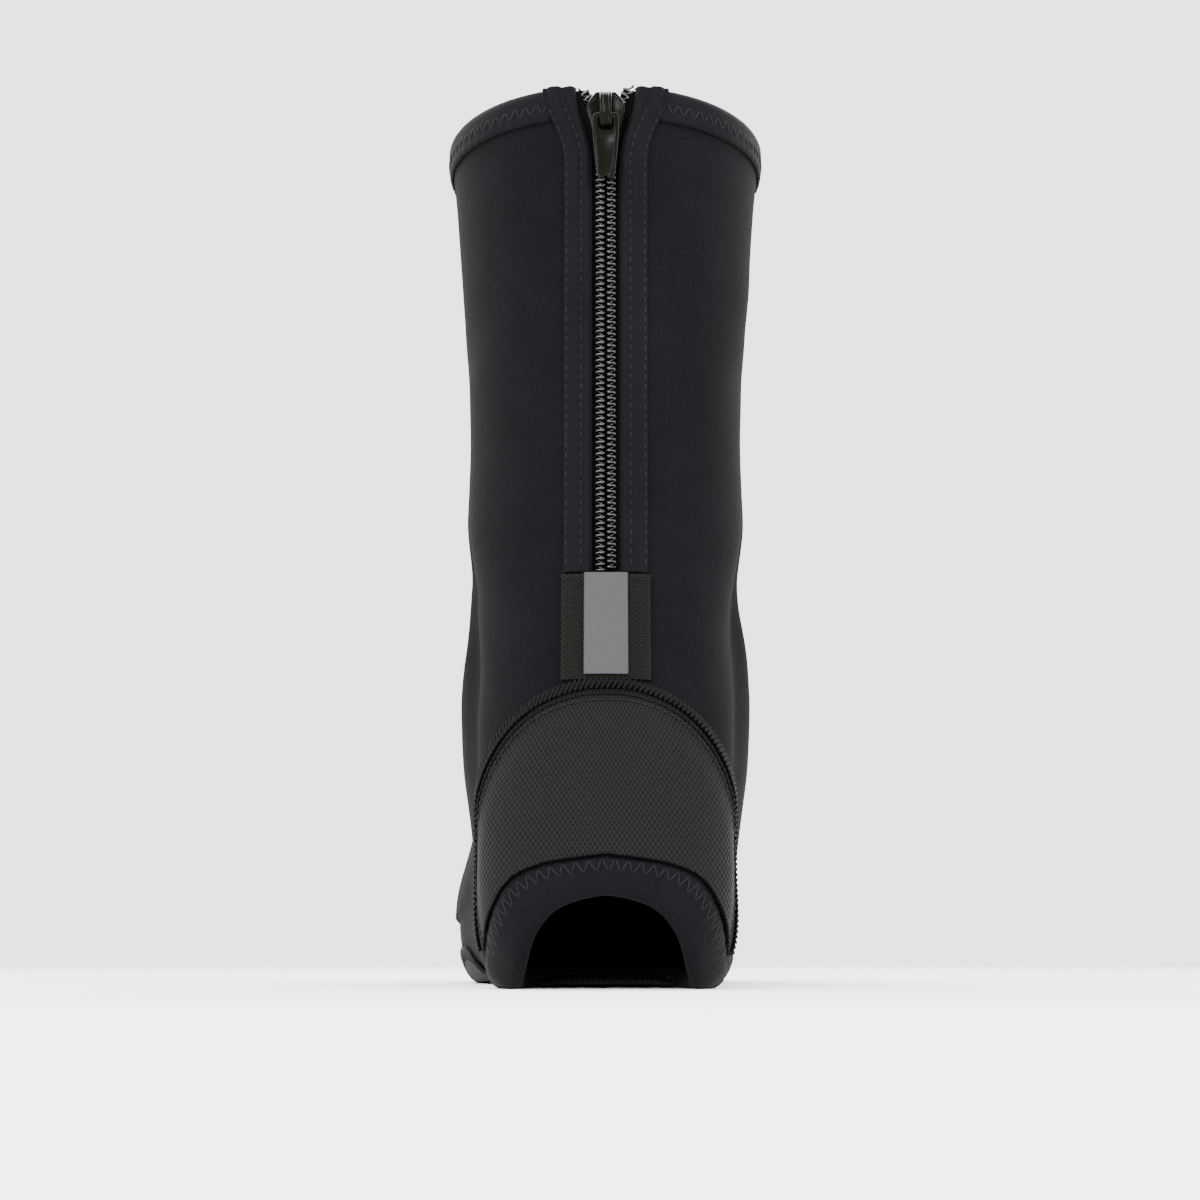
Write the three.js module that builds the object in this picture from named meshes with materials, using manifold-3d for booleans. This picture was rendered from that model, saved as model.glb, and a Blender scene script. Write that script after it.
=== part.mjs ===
// A winter cycling overshoe for the left foot, standing empty on its open sole.
// Millimetres, Z up, toe towards Y, the outer side of the foot towards minus X.
// The neoprene shell is one lofted surface, and every other cloth piece is cut from that same
// surface at its own depth, so that all of them follow the foot.
import * as THREE from "three";
import { mergeVertices } from "three/addons/utils/BufferGeometryUtils.js";
import Module from "manifold-3d";

const wasm = await Module();
wasm.setup();

// Sizes of the shell.
const FOOT_LENGTH = 290;
const BALL_WIDTH = 102;
const HEEL_WIDTH = 77;
const ANKLE_BEND_HEIGHT = 125;
const SHAFT_HEIGHT = 262;
const COLLAR_WIDTH = 98;
const COLLAR_DEPTH = 104;
const WALL = 3;

// Clearance between neighbours, and the thickness of each cloth.
const GAP = 0.3;
const BINDING_CLOTH = 0.9;
const PATCH_CLOTH = 0.9;
const STRIP_CLOTH = 1.2;
const GUSSET_CLOTH = 1.2;
const TAPE_CLOTH = 0.6;
const WEBBING_CLOTH = 1.2;
const REFLECTOR_CLOTH = 0.35;

// Edge bindings: how far each laps onto the shell, how far its fold stands past the cut edge, and
// how much of the cloth is pressed flat where it lies on the floor.
const COLLAR_BINDING_LAP = 9;
const HEEL_BINDING_LAP = 8.5;
const FOREFOOT_BINDING_LAP = 8;
const BINDING_FOLD = 1.5;
const PRESSED_FLAT = 0.25;

// Heel opening: an oval whose plane leans back, so that its rear edge rises up the heel.
const HEEL_OPENING_WIDTH = 50;
const HEEL_OPENING_REACH = 62;
const HEEL_OPENING_RISE = 25;

// Forefoot opening: from the arch to the toe, with a rim of shell left under the foot.
const FOREFOOT_OPENING_START = 126;
const FOREFOOT_TOE_RIM = 24;
const FOREFOOT_RIM = 12;
const FOREFOOT_REAR_RIM = 7;
const FOREFOOT_SIDE_REACH = 1.5;

// Arch strip and gussets.
const ARCH_STRIP_HEEL_WIDTH = 42;
const ARCH_STRIP_BALL_WIDTH = 47;
const GUSSET_LAP = 3;
const SEAM_SPREAD_AT_HEEL = 22;
const SEAM_START_BEHIND = 18;
const SEAM_TO_SOLE_EDGE = 3;

// Heel patch: where an ellipsoid behind the heel meets the shell, with a cord round its edge.
const PATCH_MIDDLE_HEIGHT = 30;
const PATCH_RISE = 54;
const PATCH_HALF_SPREAD = 50;
const PATCH_FORWARD = 40;
const CORD_WIDTH = 2.4;
const CORD_HEIGHT = 1.5;

// Zip, its slider and its pull tab.
const ZIP_BOTTOM = 117;
const ZIP_CHANNEL_WIDTH = 10.6;
const ZIP_MOUTH_WIDTH = 20.5;
const ZIP_MOUTH_HEIGHT = 22;
const FACING_WIDTH = 7;
const COIL_WIDTH = 3.1;
const COIL_THICKNESS = 2;
const COIL_SPREAD = 9;
const COIL_MOUTH = 7.1;
const COIL_OVERRUN = 2.6;
const TAPE_OVERRUN = 1.4;
const TAPE_LAP = 6.2;
const FACING_FOLD = 1.2;
const SLIDER_LENGTH = 12;
const SLIDER_WIDTH = 11.5;
const SLIDER_WAIST = 8.4;
const SLIDER_PLATE = 1.4;
const SLIDER_BACK_PLATE = 1;
const SLIDER_DROP = 1;
const SLIDER_POST_LENGTH = 2.6;
const SLIDER_CLEARANCE = 0.7;
const CROWN_LENGTH = 11.2;
const CROWN_WIDTH = 3.6;
const CROWN_HEIGHT = 3.8;
const CROWN_BAR = 1.1;
const TAB_LENGTH = 20;
const TAB_TOP_WIDTH = 8;
const TAB_END_WIDTH = 5.2;
const TAB_THICKNESS = 1.2;
const TAB_RAIL = 1.7;
const TAB_PIVOT_DROP = 1.6;

// Webbing tab and the reflective strip along its middle.
const WEBBING_WIDTH = 25;
const REFLECTOR_WIDTH = 12.2;

// How finely the shell is faceted.
const RING_POINTS = 30;
const SECTION_SPACING = 17;
const FINER_NEAR = 26;
const OVERRUN = 22;

// Sections of the shell, toe first. Each is a closed ring in a plane through the X direction, from
// a sole point (the back line, on the shaft) to a top point (the front line, on the shaft).
// soleY and topY are shares of length, soleZ and topZ shares of rise. lateral and medial are the
// half widths at the sole, as shares of breadth. swell is how much wider the ring grows by
// swellAt, a share of its height. cornerAcross and cornerUp are the rounding at the sole, as shares
// of the half width and of the height. crown is how square the ring's top is, where 2 is round.
const COLUMNS = ["soleY", "soleZ", "topY", "topZ", "lateral", "medial",
  "swell", "swellAt", "cornerAcross", "cornerUp", "crown"];

// Shares of FOOT_LENGTH, ANKLE_BEND_HEIGHT and BALL_WIDTH.
const FOREFOOT_SECTIONS = [
  [0.998, 0.144, 0.997, 0.248, 0.055, 0.105, 1.02, 0.42, 0.90, 0.40, 2.0],
  [0.987, 0.092, 0.982, 0.330, 0.160, 0.205, 1.03, 0.40, 0.60, 0.36, 2.2],
  [0.955, 0.058, 0.948, 0.392, 0.270, 0.300, 1.04, 0.38, 0.36, 0.32, 2.3],
  [0.905, 0.032, 0.898, 0.436, 0.365, 0.380, 1.04, 0.36, 0.25, 0.32, 2.3],
  [0.830, 0.008, 0.826, 0.474, 0.450, 0.440, 1.04, 0.34, 0.20, 0.32, 2.25],
  [0.735, 0.000, 0.733, 0.508, 0.505, 0.470, 1.03, 0.32, 0.15, 0.31, 2.2],
  [0.640, 0.000, 0.642, 0.556, 0.517, 0.464, 1.03, 0.30, 0.15, 0.30, 2.1],
  [0.535, 0.000, 0.545, 0.636, 0.492, 0.432, 1.03, 0.30, 0.20, 0.28, 1.95],
  [0.435, 0.012, 0.460, 0.724, 0.450, 0.398, 1.04, 0.32, 0.24, 0.25, 1.85],
  [0.340, 0.022, 0.415, 0.796, 0.412, 0.382, 1.05, 0.38, 0.27, 0.22, 1.85],
];

// Shares of FOOT_LENGTH, ANKLE_BEND_HEIGHT and HEEL_WIDTH.
const HEEL_SECTIONS = [
  [0.235, 0.006, 0.390, 0.856, 0.512, 0.497, 1.08, 0.50, 0.25, 0.18, 1.9],
  [0.145, 0.000, 0.373, 0.904, 0.503, 0.500, 1.11, 0.56, 0.24, 0.17, 1.95],
  [0.078, 0.000, 0.362, 0.942, 0.490, 0.490, 1.15, 0.58, 0.32, 0.18, 2.0],
  [0.030, 0.028, 0.355, 0.974, 0.470, 0.470, 1.22, 0.58, 0.62, 0.21, 2.0],
  [0.006, 0.120, 0.350, 1.006, 0.475, 0.475, 1.21, 0.57, 0.86, 0.26, 2.0],
  [0.000, 0.272, 0.346, 1.042, 0.492, 0.492, 1.17, 0.56, 0.95, 0.32, 2.0],
  [0.009, 0.500, 0.344, 1.094, 0.500, 0.500, 1.13, 0.54, 0.96, 0.38, 2.0],
  [0.028, 0.744, 0.345, 1.172, 0.505, 0.505, 1.07, 0.53, 0.97, 0.43, 2.0],
];

// soleY and topY are shares of COLLAR_DEPTH, soleZ and topZ shares of the rise from the ankle bend
// to the collar, and the half widths are shares of COLLAR_WIDTH.
const SHAFT_SECTIONS = [
  [0.117, 0.000, 0.972, 0.270, 0.432, 0.432, 1.02, 0.51, 0.97, 0.47, 2.0],
  [0.119, 0.200, 0.982, 0.395, 0.430, 0.430, 1.01, 0.50, 0.97, 0.48, 2.0],
  [0.102, 0.410, 0.993, 0.540, 0.443, 0.443, 1.01, 0.50, 0.97, 0.49, 2.0],
  [0.074, 0.625, 1.007, 0.695, 0.462, 0.462, 1.00, 0.50, 0.97, 0.49, 2.0],
  [0.050, 0.825, 1.021, 0.862, 0.482, 0.482, 1.00, 0.50, 0.97, 0.49, 2.0],
  [0.034, 1.000, 1.034, 1.000, 0.500, 0.500, 1.00, 0.50, 0.97, 0.49, 2.0],
];

const SHAFT_RISE = SHAFT_HEIGHT - ANKLE_BEND_HEIGHT;

// One section in millimetres, from a row of shares.
function sectionOf(row, length, riseFrom, rise, breadth) {
  const s = Object.fromEntries(COLUMNS.map((name, i) => [name, row[i]]));
  s.soleY *= length;
  s.topY *= length;
  s.soleZ = riseFrom + s.soleZ * rise;
  s.topZ = riseFrom + s.topZ * rise;
  s.lateral *= breadth;
  s.medial *= breadth;
  return s;
}

// The shaft's last section again, higher up, so that a cut can trim the collar cleanly.
function continued(last) {
  return { ...last, soleZ: last.soleZ + OVERRUN, topZ: last.topZ + OVERRUN };
}

const sections = [
  ...FOREFOOT_SECTIONS.map((r) => sectionOf(r, FOOT_LENGTH, 0, ANKLE_BEND_HEIGHT, BALL_WIDTH)),
  ...HEEL_SECTIONS.map((r) => sectionOf(r, FOOT_LENGTH, 0, ANKLE_BEND_HEIGHT, HEEL_WIDTH)),
  ...SHAFT_SECTIONS.map((r) => sectionOf(r, COLLAR_DEPTH, ANKLE_BEND_HEIGHT, SHAFT_RISE, COLLAR_WIDTH)),
];
sections.push(continued(sections.at(-1)));

// Distance run along the shell at each section, half way between its sole line and its top line.
const runs = sections.reduce((found, s, i) => {
  if (i === 0) return [0];
  const p = sections[i - 1];
  const along = Math.hypot(s.soleY - p.soleY, s.soleZ - p.soleZ);
  const over = Math.hypot(s.topY - p.topY, s.topZ - p.topZ);
  return [...found, found.at(-1) + (along + over) / 2];
}, []);

// A smooth curve through points that never overshoots them, so that what is flat stays flat.
function monotone(xs, ys) {
  const slopes = xs.slice(1).map((x, i) => (ys[i + 1] - ys[i]) / (x - xs[i]));
  const tangents = xs.map((_, i) => {
    const before = slopes[Math.max(i - 1, 0)];
    const after = slopes[Math.min(i, slopes.length - 1)];
    return before * after <= 0 ? 0 : (2 * before * after) / (before + after);
  });
  return (x) => {
    let i = 0;
    while (i < xs.length - 2 && x > xs[i + 1]) i += 1;
    const h = xs[i + 1] - xs[i];
    const t = (x - xs[i]) / h;
    const u = 1 - t;
    return ys[i] * (1 + 2 * t) * u * u + ys[i + 1] * t * t * (3 - 2 * t)
      + h * (tangents[i] * t * u * u - tangents[i + 1] * t * t * u);
  };
}

const columnAt = Object.fromEntries(
  COLUMNS.map((name) => [name, monotone(runs, sections.map((s) => s[name]))]),
);

// Half of a ring, from the middle of the sole to the middle of the top, as [across, up] points.
function halfRing(s, halfWidth, height) {
  const STEPS = 14;
  const cornerX = s.cornerAcross * halfWidth;
  const cornerUp = s.cornerUp * height;
  const swellUp = Math.max(s.swellAt * height, cornerUp);
  const widest = halfWidth * s.swell;
  const points = [[0, 0], [(halfWidth - cornerX) / 2, 0]];
  for (let i = 0; i <= STEPS; i += 1) {
    const a = (i / STEPS) * (Math.PI / 2);
    points.push([halfWidth - cornerX * (1 - Math.sin(a)), cornerUp * (1 - Math.cos(a))]);
  }
  for (let i = 1; i <= STEPS; i += 1) {
    const t = i / STEPS;
    const grown = t * t * (3 - 2 * t);
    points.push([halfWidth + (widest - halfWidth) * grown, cornerUp + (swellUp - cornerUp) * t]);
  }
  for (let i = 1; i <= STEPS; i += 1) {
    const a = (i / STEPS) * (Math.PI / 2);
    const across = widest * Math.cos(a) ** (2 / s.crown);
    points.push([i === STEPS ? 0 : across, swellUp + (height - swellUp) * Math.sin(a) ** (2 / s.crown)]);
  }
  return points;
}

// The point at a share of a half ring's length, which counts for more near the sole and the zip,
// where the facets have to be finer.
function pointAlong(points, share) {
  const FINER = 1.8;
  const lengths = [0];
  for (let i = 1; i < points.length; i += 1) {
    const [ax, au] = points[i - 1];
    const [bx, bu] = points[i];
    const weight = 1 + FINER * Math.exp(-(((au + bu) / 2 / FINER_NEAR) ** 2));
    lengths.push(lengths[i - 1] + Math.hypot(bx - ax, bu - au) * weight);
  }
  const target = share * lengths.at(-1);
  let i = 1;
  while (i < points.length - 1 && lengths[i] < target) i += 1;
  const t = (target - lengths[i - 1]) / Math.max(lengths[i] - lengths[i - 1], 1e-9);
  return [0, 1].map((k) => points[i - 1][k] + (points[i][k] - points[i - 1][k]) * t);
}

// The shell's outer surface: run goes from the toe to the collar, turn once round the ring,
// from the middle of the sole by the medial side to the top and back by the lateral side.
function surfaceRing(run) {
  const s = Object.fromEntries(COLUMNS.map((name) => [name, columnAt[name](run)]));
  const rise = [s.topY - s.soleY, s.topZ - s.soleZ];
  const height = Math.hypot(...rise);
  const medial = halfRing(s, s.medial, height);
  const lateral = halfRing(s, s.lateral, height);
  return (turn) => {
    const wrapped = ((turn % 1) + 1) % 1;
    const onMedial = wrapped <= 0.5;
    const share = onMedial ? wrapped * 2 : 2 - wrapped * 2;
    const [across, up] = pointAlong(onMedial ? medial : lateral, share);
    return new THREE.Vector3(
      onMedial ? across : -across,
      s.soleY + (rise[0] * up) / height,
      s.soleZ + (rise[1] * up) / height,
    );
  };
}

// The facets' grid of points and outward normals, worked out once for every depth.
const STEP = 0.004;
const sectionRuns = runs.slice(1).flatMap((end, i) => {
  const count = Math.max(1, Math.round((end - runs[i]) / SECTION_SPACING));
  return Array.from({ length: count }, (_, k) => runs[i] + ((k + 1) / count) * (end - runs[i]));
});
const grid = [0, ...sectionRuns].map((run) => {
  const near = Math.max(run - 0.05, 0);
  const far = Math.min(run + 0.05, runs.at(-1));
  const [ring, before, after] = [run, near, far].map(surfaceRing);
  return Array.from({ length: RING_POINTS }, (_, j) => {
    const turn = j / RING_POINTS;
    const point = ring(turn);
    const along = after(turn).sub(before(turn));
    const round = ring(turn + STEP).sub(ring(turn - STEP));
    return { point, normal: round.cross(along).normalize() };
  });
});

// A closed form of the whole shell at a depth: 0 is the outer face, negative is inside it.
function formAt(depth) {
  const rings = grid.map((ring) => ring.map((g) => g.point.clone().addScaledVector(g.normal, depth)));
  const positions = rings.flat().flatMap((p) => p.toArray());
  const sumOf = (ring) => ring.reduce((sum, p) => sum.add(p), new THREE.Vector3());
  const centreOf = (ring) => sumOf(ring).divideScalar(ring.length);
  const toe = centreOf(rings[0]).add(new THREE.Vector3(0, depth, 0));
  const top = centreOf(rings.at(-1));
  positions.push(...toe.toArray(), ...top.toArray());
  const toeIndex = rings.length * RING_POINTS;
  const faces = [];
  for (let j = 0; j < RING_POINTS; j += 1) {
    const k = (j + 1) % RING_POINTS;
    faces.push(toeIndex, j, k);
    for (let i = 0; i < rings.length - 1; i += 1) {
      const a = i * RING_POINTS;
      const b = a + RING_POINTS;
      faces.push(a + j, b + j, b + k, a + j, b + k, a + k);
    }
    const last = (rings.length - 1) * RING_POINTS;
    faces.push(toeIndex + 1, last + k, last + j);
  }
  return solidFrom(positions, faces);
}

function solidFrom(positions, faces) {
  const solid = new wasm.Manifold(
    new wasm.Mesh({
      numProp: 3,
      vertProperties: new Float32Array(positions),
      triVerts: new Uint32Array(faces),
    }),
  );
  if (solid.volume() > 0) return solid;
  return solidFrom(positions, faces.toReversed());
}

const forms = new Map();
function form(depth) {
  const key = depth.toFixed(3);
  if (!forms.has(key)) forms.set(key, formAt(depth));
  return forms.get(key);
}

// The layer of the shell between two depths.
function layer(outer, inner) {
  return form(outer).subtract(form(inner));
}

// A three.js geometry as a solid.
function solidOf(geometry, matrix = new THREE.Matrix4()) {
  const bare = new THREE.BufferGeometry().setAttribute("position", geometry.getAttribute("position"));
  if (geometry.index) bare.setIndex(geometry.index);
  const merged = mergeVertices(bare.applyMatrix4(matrix), 1e-4);
  return solidFrom(merged.attributes.position.array, Array.from(merged.index.array));
}

function boxBetween(low, high) {
  const size = high.map((h, i) => h - low[i]);
  const middle = high.map((h, i) => (h + low[i]) / 2);
  return solidOf(new THREE.BoxGeometry(...size), new THREE.Matrix4().makeTranslation(...middle));
}

// An outline of [a, b] points, extruded. In plan it runs up from low to high along Z.
function planPrism(outline, low, high) {
  const shape = new THREE.Shape(outline.map(([x, y]) => new THREE.Vector2(x, y)));
  const geometry = new THREE.ExtrudeGeometry(shape, { depth: high - low, bevelEnabled: false });
  return solidOf(geometry, new THREE.Matrix4().makeTranslation(0, 0, low));
}

// The same, seen from behind: the outline is [x, z], and it runs forward from near to far along Y.
function rearPrism(outline, near, far) {
  const shape = new THREE.Shape(outline.map(([x, z]) => new THREE.Vector2(x, z)));
  const geometry = new THREE.ExtrudeGeometry(shape, { depth: far - near, bevelEnabled: false });
  const upright = new THREE.Matrix4().makeRotationX(Math.PI / 2);
  return solidOf(geometry, new THREE.Matrix4().makeTranslation(0, far, 0).multiply(upright));
}

// How far cuts reach: from behind, as far as the middle of the shaft, and from below, up to a
// ceiling that is clear of the top of the foot.
const BACK_HALF = COLLAR_DEPTH / 2;
const BEHIND = -40;
const BELOW = -30;
const ARCH_CEILING = 16;

function smooth(t) {
  const c = Math.min(Math.max(t, 0), 1);
  return c * c * (3 - 2 * c);
}

// The heel opening, grown outward by a margin. Its plane leans back by the rise of its rear edge,
// where the shell runs nearly along the cut and a small margin covers a lot of it. The powers say
// how square each end of the outline is: a power of one gives an ellipse, a smaller one is squarer.
// The rear is squarest at the opening's own edge and rounder where the binding ends.
function heelOpening(margin) {
  const POINTS = 24;
  const REAR_SHARE = 0.45;
  const REAR_POWER = 0.5;
  const REAR_POWER_AT_LAP = 0.68;
  const FRONT_POWER = 0.86;
  const inward = HEEL_OPENING_REACH * 0.65;
  const outward = HEEL_OPENING_REACH * 0.8;
  const lean = Math.atan2(HEEL_OPENING_RISE, HEEL_OPENING_REACH);
  const halfLength = Math.hypot(HEEL_OPENING_RISE, HEEL_OPENING_REACH) / 2;
  const halfWidth = HEEL_OPENING_WIDTH / 2;
  const rearPower = REAR_POWER + ((REAR_POWER_AT_LAP - REAR_POWER) * margin) / HEEL_BINDING_LAP;
  const outline = Array.from({ length: POINTS }, (_, i) => {
    const a = (i / POINTS) * 2 * Math.PI;
    const rear = Math.sin(a) < 0;
    const share = Math.abs(Math.sin(a)) ** (rear ? rearPower : FRONT_POWER) * Math.sign(Math.sin(a));
    const grown = rear ? margin * REAR_SHARE : margin;
    return new THREE.Vector2((halfWidth + margin) * Math.cos(a), (halfLength + grown) * share);
  });
  const depth = inward + outward;
  const geometry = new THREE.ExtrudeGeometry(new THREE.Shape(outline), { depth, bevelEnabled: false });
  const place = new THREE.Matrix4()
    .makeTranslation(0, HEEL_OPENING_REACH / 2, HEEL_OPENING_RISE / 2)
    .multiply(new THREE.Matrix4().makeRotationX(-lean))
    .multiply(new THREE.Matrix4().makeTranslation(0, 0, -outward));
  return solidOf(geometry, place);
}

// Half widths of the shell at the sole, as functions of Y.
const soleSections = sections.filter((s) => s.soleZ < SHAFT_HEIGHT / 4).toReversed();
const soleYs = soleSections.map((s) => s.soleY);
const lateralAt = monotone(soleYs, soleSections.map((s) => s.lateral));
const medialAt = monotone(soleYs, soleSections.map((s) => s.medial));

// The forefoot opening in plan, grown outward by a margin. Its rear edge runs nearly straight
// across, and its front edge is round like the toe.
function forefootOpening(margin) {
  const POINTS = 12;
  const REAR_SQUARENESS = 6;
  const FRONT_SQUARENESS = 2.5;
  const half = (FOOT_LENGTH - FOREFOOT_TOE_RIM - FOREFOOT_OPENING_START) / 2;
  const middle = FOREFOOT_OPENING_START + half;
  const side = (halfWidthAt, sign) => Array.from({ length: POINTS }, (_, i) => {
    const along = Math.sin(((i + 0.5) / POINTS - 0.5) * Math.PI);
    const squareness = along < 0 ? REAR_SQUARENESS : FRONT_SQUARENESS;
    const taper = (1 - Math.abs(along) ** squareness) ** (1 / squareness);
    const rim = FOREFOOT_REAR_RIM + (FOREFOOT_RIM - FOREFOOT_REAR_RIM) * smooth((along + 1) / 2);
    const halfWidth = halfWidthAt(middle + half * along);
    const across = Math.min(halfWidth - rim + margin, halfWidth - FOREFOOT_SIDE_REACH);
    return [sign * across * taper, middle + (half + margin) * along];
  });
  return planPrism([...side(medialAt, 1), ...side(lateralAt, -1).reverse()], BELOW, ARCH_CEILING);
}

// A U of binding cloth folded over an edge of the shell, and pressed flat on the floor. The
// opening grows by the lap on the outside, and the fold stands into the opening.
const FLOOR = PRESSED_FLAT - GAP - BINDING_CLOTH;
function bindingRound(opening, lap) {
  const outer = layer(GAP + BINDING_CLOTH, -WALL - GAP - BINDING_CLOTH);
  const held = layer(GAP, -WALL - GAP).subtract(opening(-GAP));
  return outer
    .intersect(opening(lap))
    .subtract(opening(-BINDING_FOLD))
    .subtract(held)
    .subtract(slab(BELOW, FLOOR));
}

// The zip channel from behind, grown by a margin: straight sides that flare at the collar.
function zipChannelHalf(z) {
  const flare = smooth((z - (SHAFT_HEIGHT - ZIP_MOUTH_HEIGHT)) / ZIP_MOUTH_HEIGHT);
  return ZIP_CHANNEL_WIDTH / 2 + ((ZIP_MOUTH_WIDTH - ZIP_CHANNEL_WIDTH) / 2) * flare;
}

// A strip seen from behind, between two edges given as functions of height.
function strandPrism(innerAt, outerAt, low, high) {
  const STEPS = 5;
  const flareFrom = SHAFT_HEIGHT - ZIP_MOUTH_HEIGHT;
  const stepHeight = (high - flareFrom) / STEPS;
  const heights = [low, ...Array.from({ length: STEPS + 1 }, (_, i) => flareFrom + i * stepHeight)];
  const up = heights.map((z) => [outerAt(z), z]);
  const down = heights.toReversed().map((z) => [innerAt(z), z]);
  return rearPrism([...up, ...down], BEHIND, BACK_HALF);
}

function zipChannel(margin, low = ZIP_BOTTOM) {
  const half = (z) => zipChannelHalf(z) + margin;
  return strandPrism((z) => -half(z), half, low, SHAFT_HEIGHT + OVERRUN);
}

// All between two heights.
function slab(low, high) {
  return boxBetween([-FOOT_LENGTH, -FOOT_LENGTH, low], [FOOT_LENGTH, 2 * FOOT_LENGTH, high]);
}

const CEILING = SHAFT_HEIGHT + 2 * OVERRUN;
const aboveCollar = slab(SHAFT_HEIGHT, CEILING);

// The arch strip in plan, grown by a margin, with its ends run out under both bindings.
function archStripArea(margin, low = BELOW, high = ARCH_CEILING) {
  const heel = ARCH_STRIP_HEEL_WIDTH / 2 + margin;
  const ball = ARCH_STRIP_BALL_WIDTH / 2 + margin;
  const start = HEEL_OPENING_REACH - SEAM_START_BEHIND;
  const end = FOREFOOT_OPENING_START + SEAM_START_BEHIND;
  return planPrism([[-heel, start], [heel, start], [ball, end], [-ball, end]], low, high);
}

// The curved seam where a gusset meets the shell, from the heel opening out to the sole's edge.
function gussetSeam(halfWidthAt, margin) {
  const POINTS = 7;
  const CURVE = 1.7;
  const start = HEEL_OPENING_REACH - SEAM_START_BEHIND;
  const end = FOREFOOT_OPENING_START + FOREFOOT_BINDING_LAP / 2;
  const to = halfWidthAt(end) - SEAM_TO_SOLE_EDGE;
  return Array.from({ length: POINTS }, (_, i) => {
    const t = i / (POINTS - 1);
    const across = SEAM_SPREAD_AT_HEEL + (to - SEAM_SPREAD_AT_HEEL) * t ** CURVE;
    return [across + margin, start + (end - start) * t];
  });
}

// All that the arch pieces fill of the shell, grown by a margin.
function archRegion(margin) {
  const medial = gussetSeam(medialAt, margin);
  const lateral = gussetSeam(lateralAt, margin).map(([x, y]) => [-x, y]);
  return planPrism([...medial, ...lateral.reverse()], BELOW, ARCH_CEILING + margin);
}

// The ellipsoid that marks out the heel patch, grown by a margin.
function patchArea(margin) {
  const ball = new THREE.SphereGeometry(1, 22, 14);
  const size = [PATCH_HALF_SPREAD, PATCH_FORWARD, PATCH_RISE].map((r) => r + margin);
  const place = new THREE.Matrix4().makeTranslation(0, 0, PATCH_MIDDLE_HEIGHT);
  return solidOf(ball, place.multiply(new THREE.Matrix4().makeScale(...size)));
}

const lateralHalf = boxBetween([-FOOT_LENGTH, -FOOT_LENGTH, BELOW], [0, 2 * FOOT_LENGTH, CEILING]);
const medialHalf = boxBetween([0, -FOOT_LENGTH, BELOW], [FOOT_LENGTH, 2 * FOOT_LENGTH, CEILING]);

function makeUpper() {
  return layer(0, -WALL)
    .subtract(aboveCollar)
    .subtract(heelOpening(0))
    .subtract(forefootOpening(0))
    .subtract(archRegion(GAP))
    .subtract(zipChannel(0));
}

function makeCollarBinding() {
  const top = SHAFT_HEIGHT + BINDING_FOLD;
  const band = slab(SHAFT_HEIGHT - COLLAR_BINDING_LAP, top);
  const held = layer(GAP, -WALL - GAP).subtract(slab(SHAFT_HEIGHT + GAP, CEILING));
  return layer(GAP + BINDING_CLOTH, -WALL - GAP - BINDING_CLOTH)
    .intersect(band)
    .subtract(held)
    .subtract(zipChannel(FACING_WIDTH + GAP));
}

// A strip of cloth along one edge of the zip channel, folded in over the shell's cut edge.
function makeZipFacing(half) {
  const below = ZIP_BOTTOM - WEBBING_WIDTH;
  const held = layer(GAP, -WALL - FACING_FOLD).subtract(zipChannel(-GAP, below));
  return layer(GAP + BINDING_CLOTH, -WALL)
    .intersect(zipChannel(FACING_WIDTH))
    .intersect(half)
    .subtract(zipChannel(-FACING_FOLD, below))
    .subtract(held)
    .subtract(slab(SHAFT_HEIGHT + BINDING_FOLD, CEILING));
}

// How far the middle of a coil stands from the middle of the zip. The two part in the slider.
function coilAt(z) {
  const closed = COIL_WIDTH / 2 + GAP / 2;
  const spread = smooth((z - SHAFT_HEIGHT + COIL_SPREAD) / (COIL_SPREAD + COIL_OVERRUN));
  return closed + (COIL_MOUTH - closed) * spread;
}

// One side's coil and tape, as strips seen from behind. side is 1 for medial and -1 for lateral.
function makeCoil(side) {
  const edge = (sign) => (z) => side * (coilAt(z) + (sign * COIL_WIDTH) / 2);
  const strand = strandPrism(edge(-side), edge(side), ZIP_BOTTOM, SHAFT_HEIGHT + COIL_OVERRUN);
  return layer(COIL_THICKNESS - WALL, -WALL).intersect(strand);
}

function makeTape(side) {
  const inner = (z) => side * (coilAt(z) - COIL_WIDTH / 2);
  const outer = (z) => side * (zipChannelHalf(z) + TAPE_LAP);
  const edges = side > 0 ? [inner, outer] : [outer, inner];
  const strand = strandPrism(...edges, ZIP_BOTTOM, SHAFT_HEIGHT + TAPE_OVERRUN);
  return layer(-WALL - GAP, -WALL - GAP - TAPE_CLOTH).intersect(strand);
}

// A rectangle of cloth up the middle of the back, between the patch cord and the zip.
function makeBackStrip(width, inner, cloth) {
  const half = width / 2;
  const top = ZIP_BOTTOM - GAP;
  const low = PATCH_MIDDLE_HEIGHT;
  const area = rearPrism([[-half, low], [half, low], [half, top], [-half, top]], BEHIND, BACK_HALF);
  return layer(inner + cloth, inner).intersect(area).subtract(patchArea(CORD_WIDTH + GAP + CORD_HEIGHT));
}

function makeHeelPatch() {
  return layer(GAP + PATCH_CLOTH, GAP)
    .intersect(patchArea(0))
    .subtract(heelOpening(HEEL_BINDING_LAP + GAP));
}

function makePatchCord() {
  return layer(GAP + CORD_HEIGHT, GAP)
    .intersect(patchArea(GAP + CORD_WIDTH))
    .subtract(patchArea(GAP))
    .subtract(heelOpening(HEEL_BINDING_LAP + GAP));
}

function makeArchStrip() {
  return layer(0, -STRIP_CLOTH)
    .intersect(archStripArea(0))
    .subtract(heelOpening(0))
    .subtract(forefootOpening(0));
}

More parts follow.
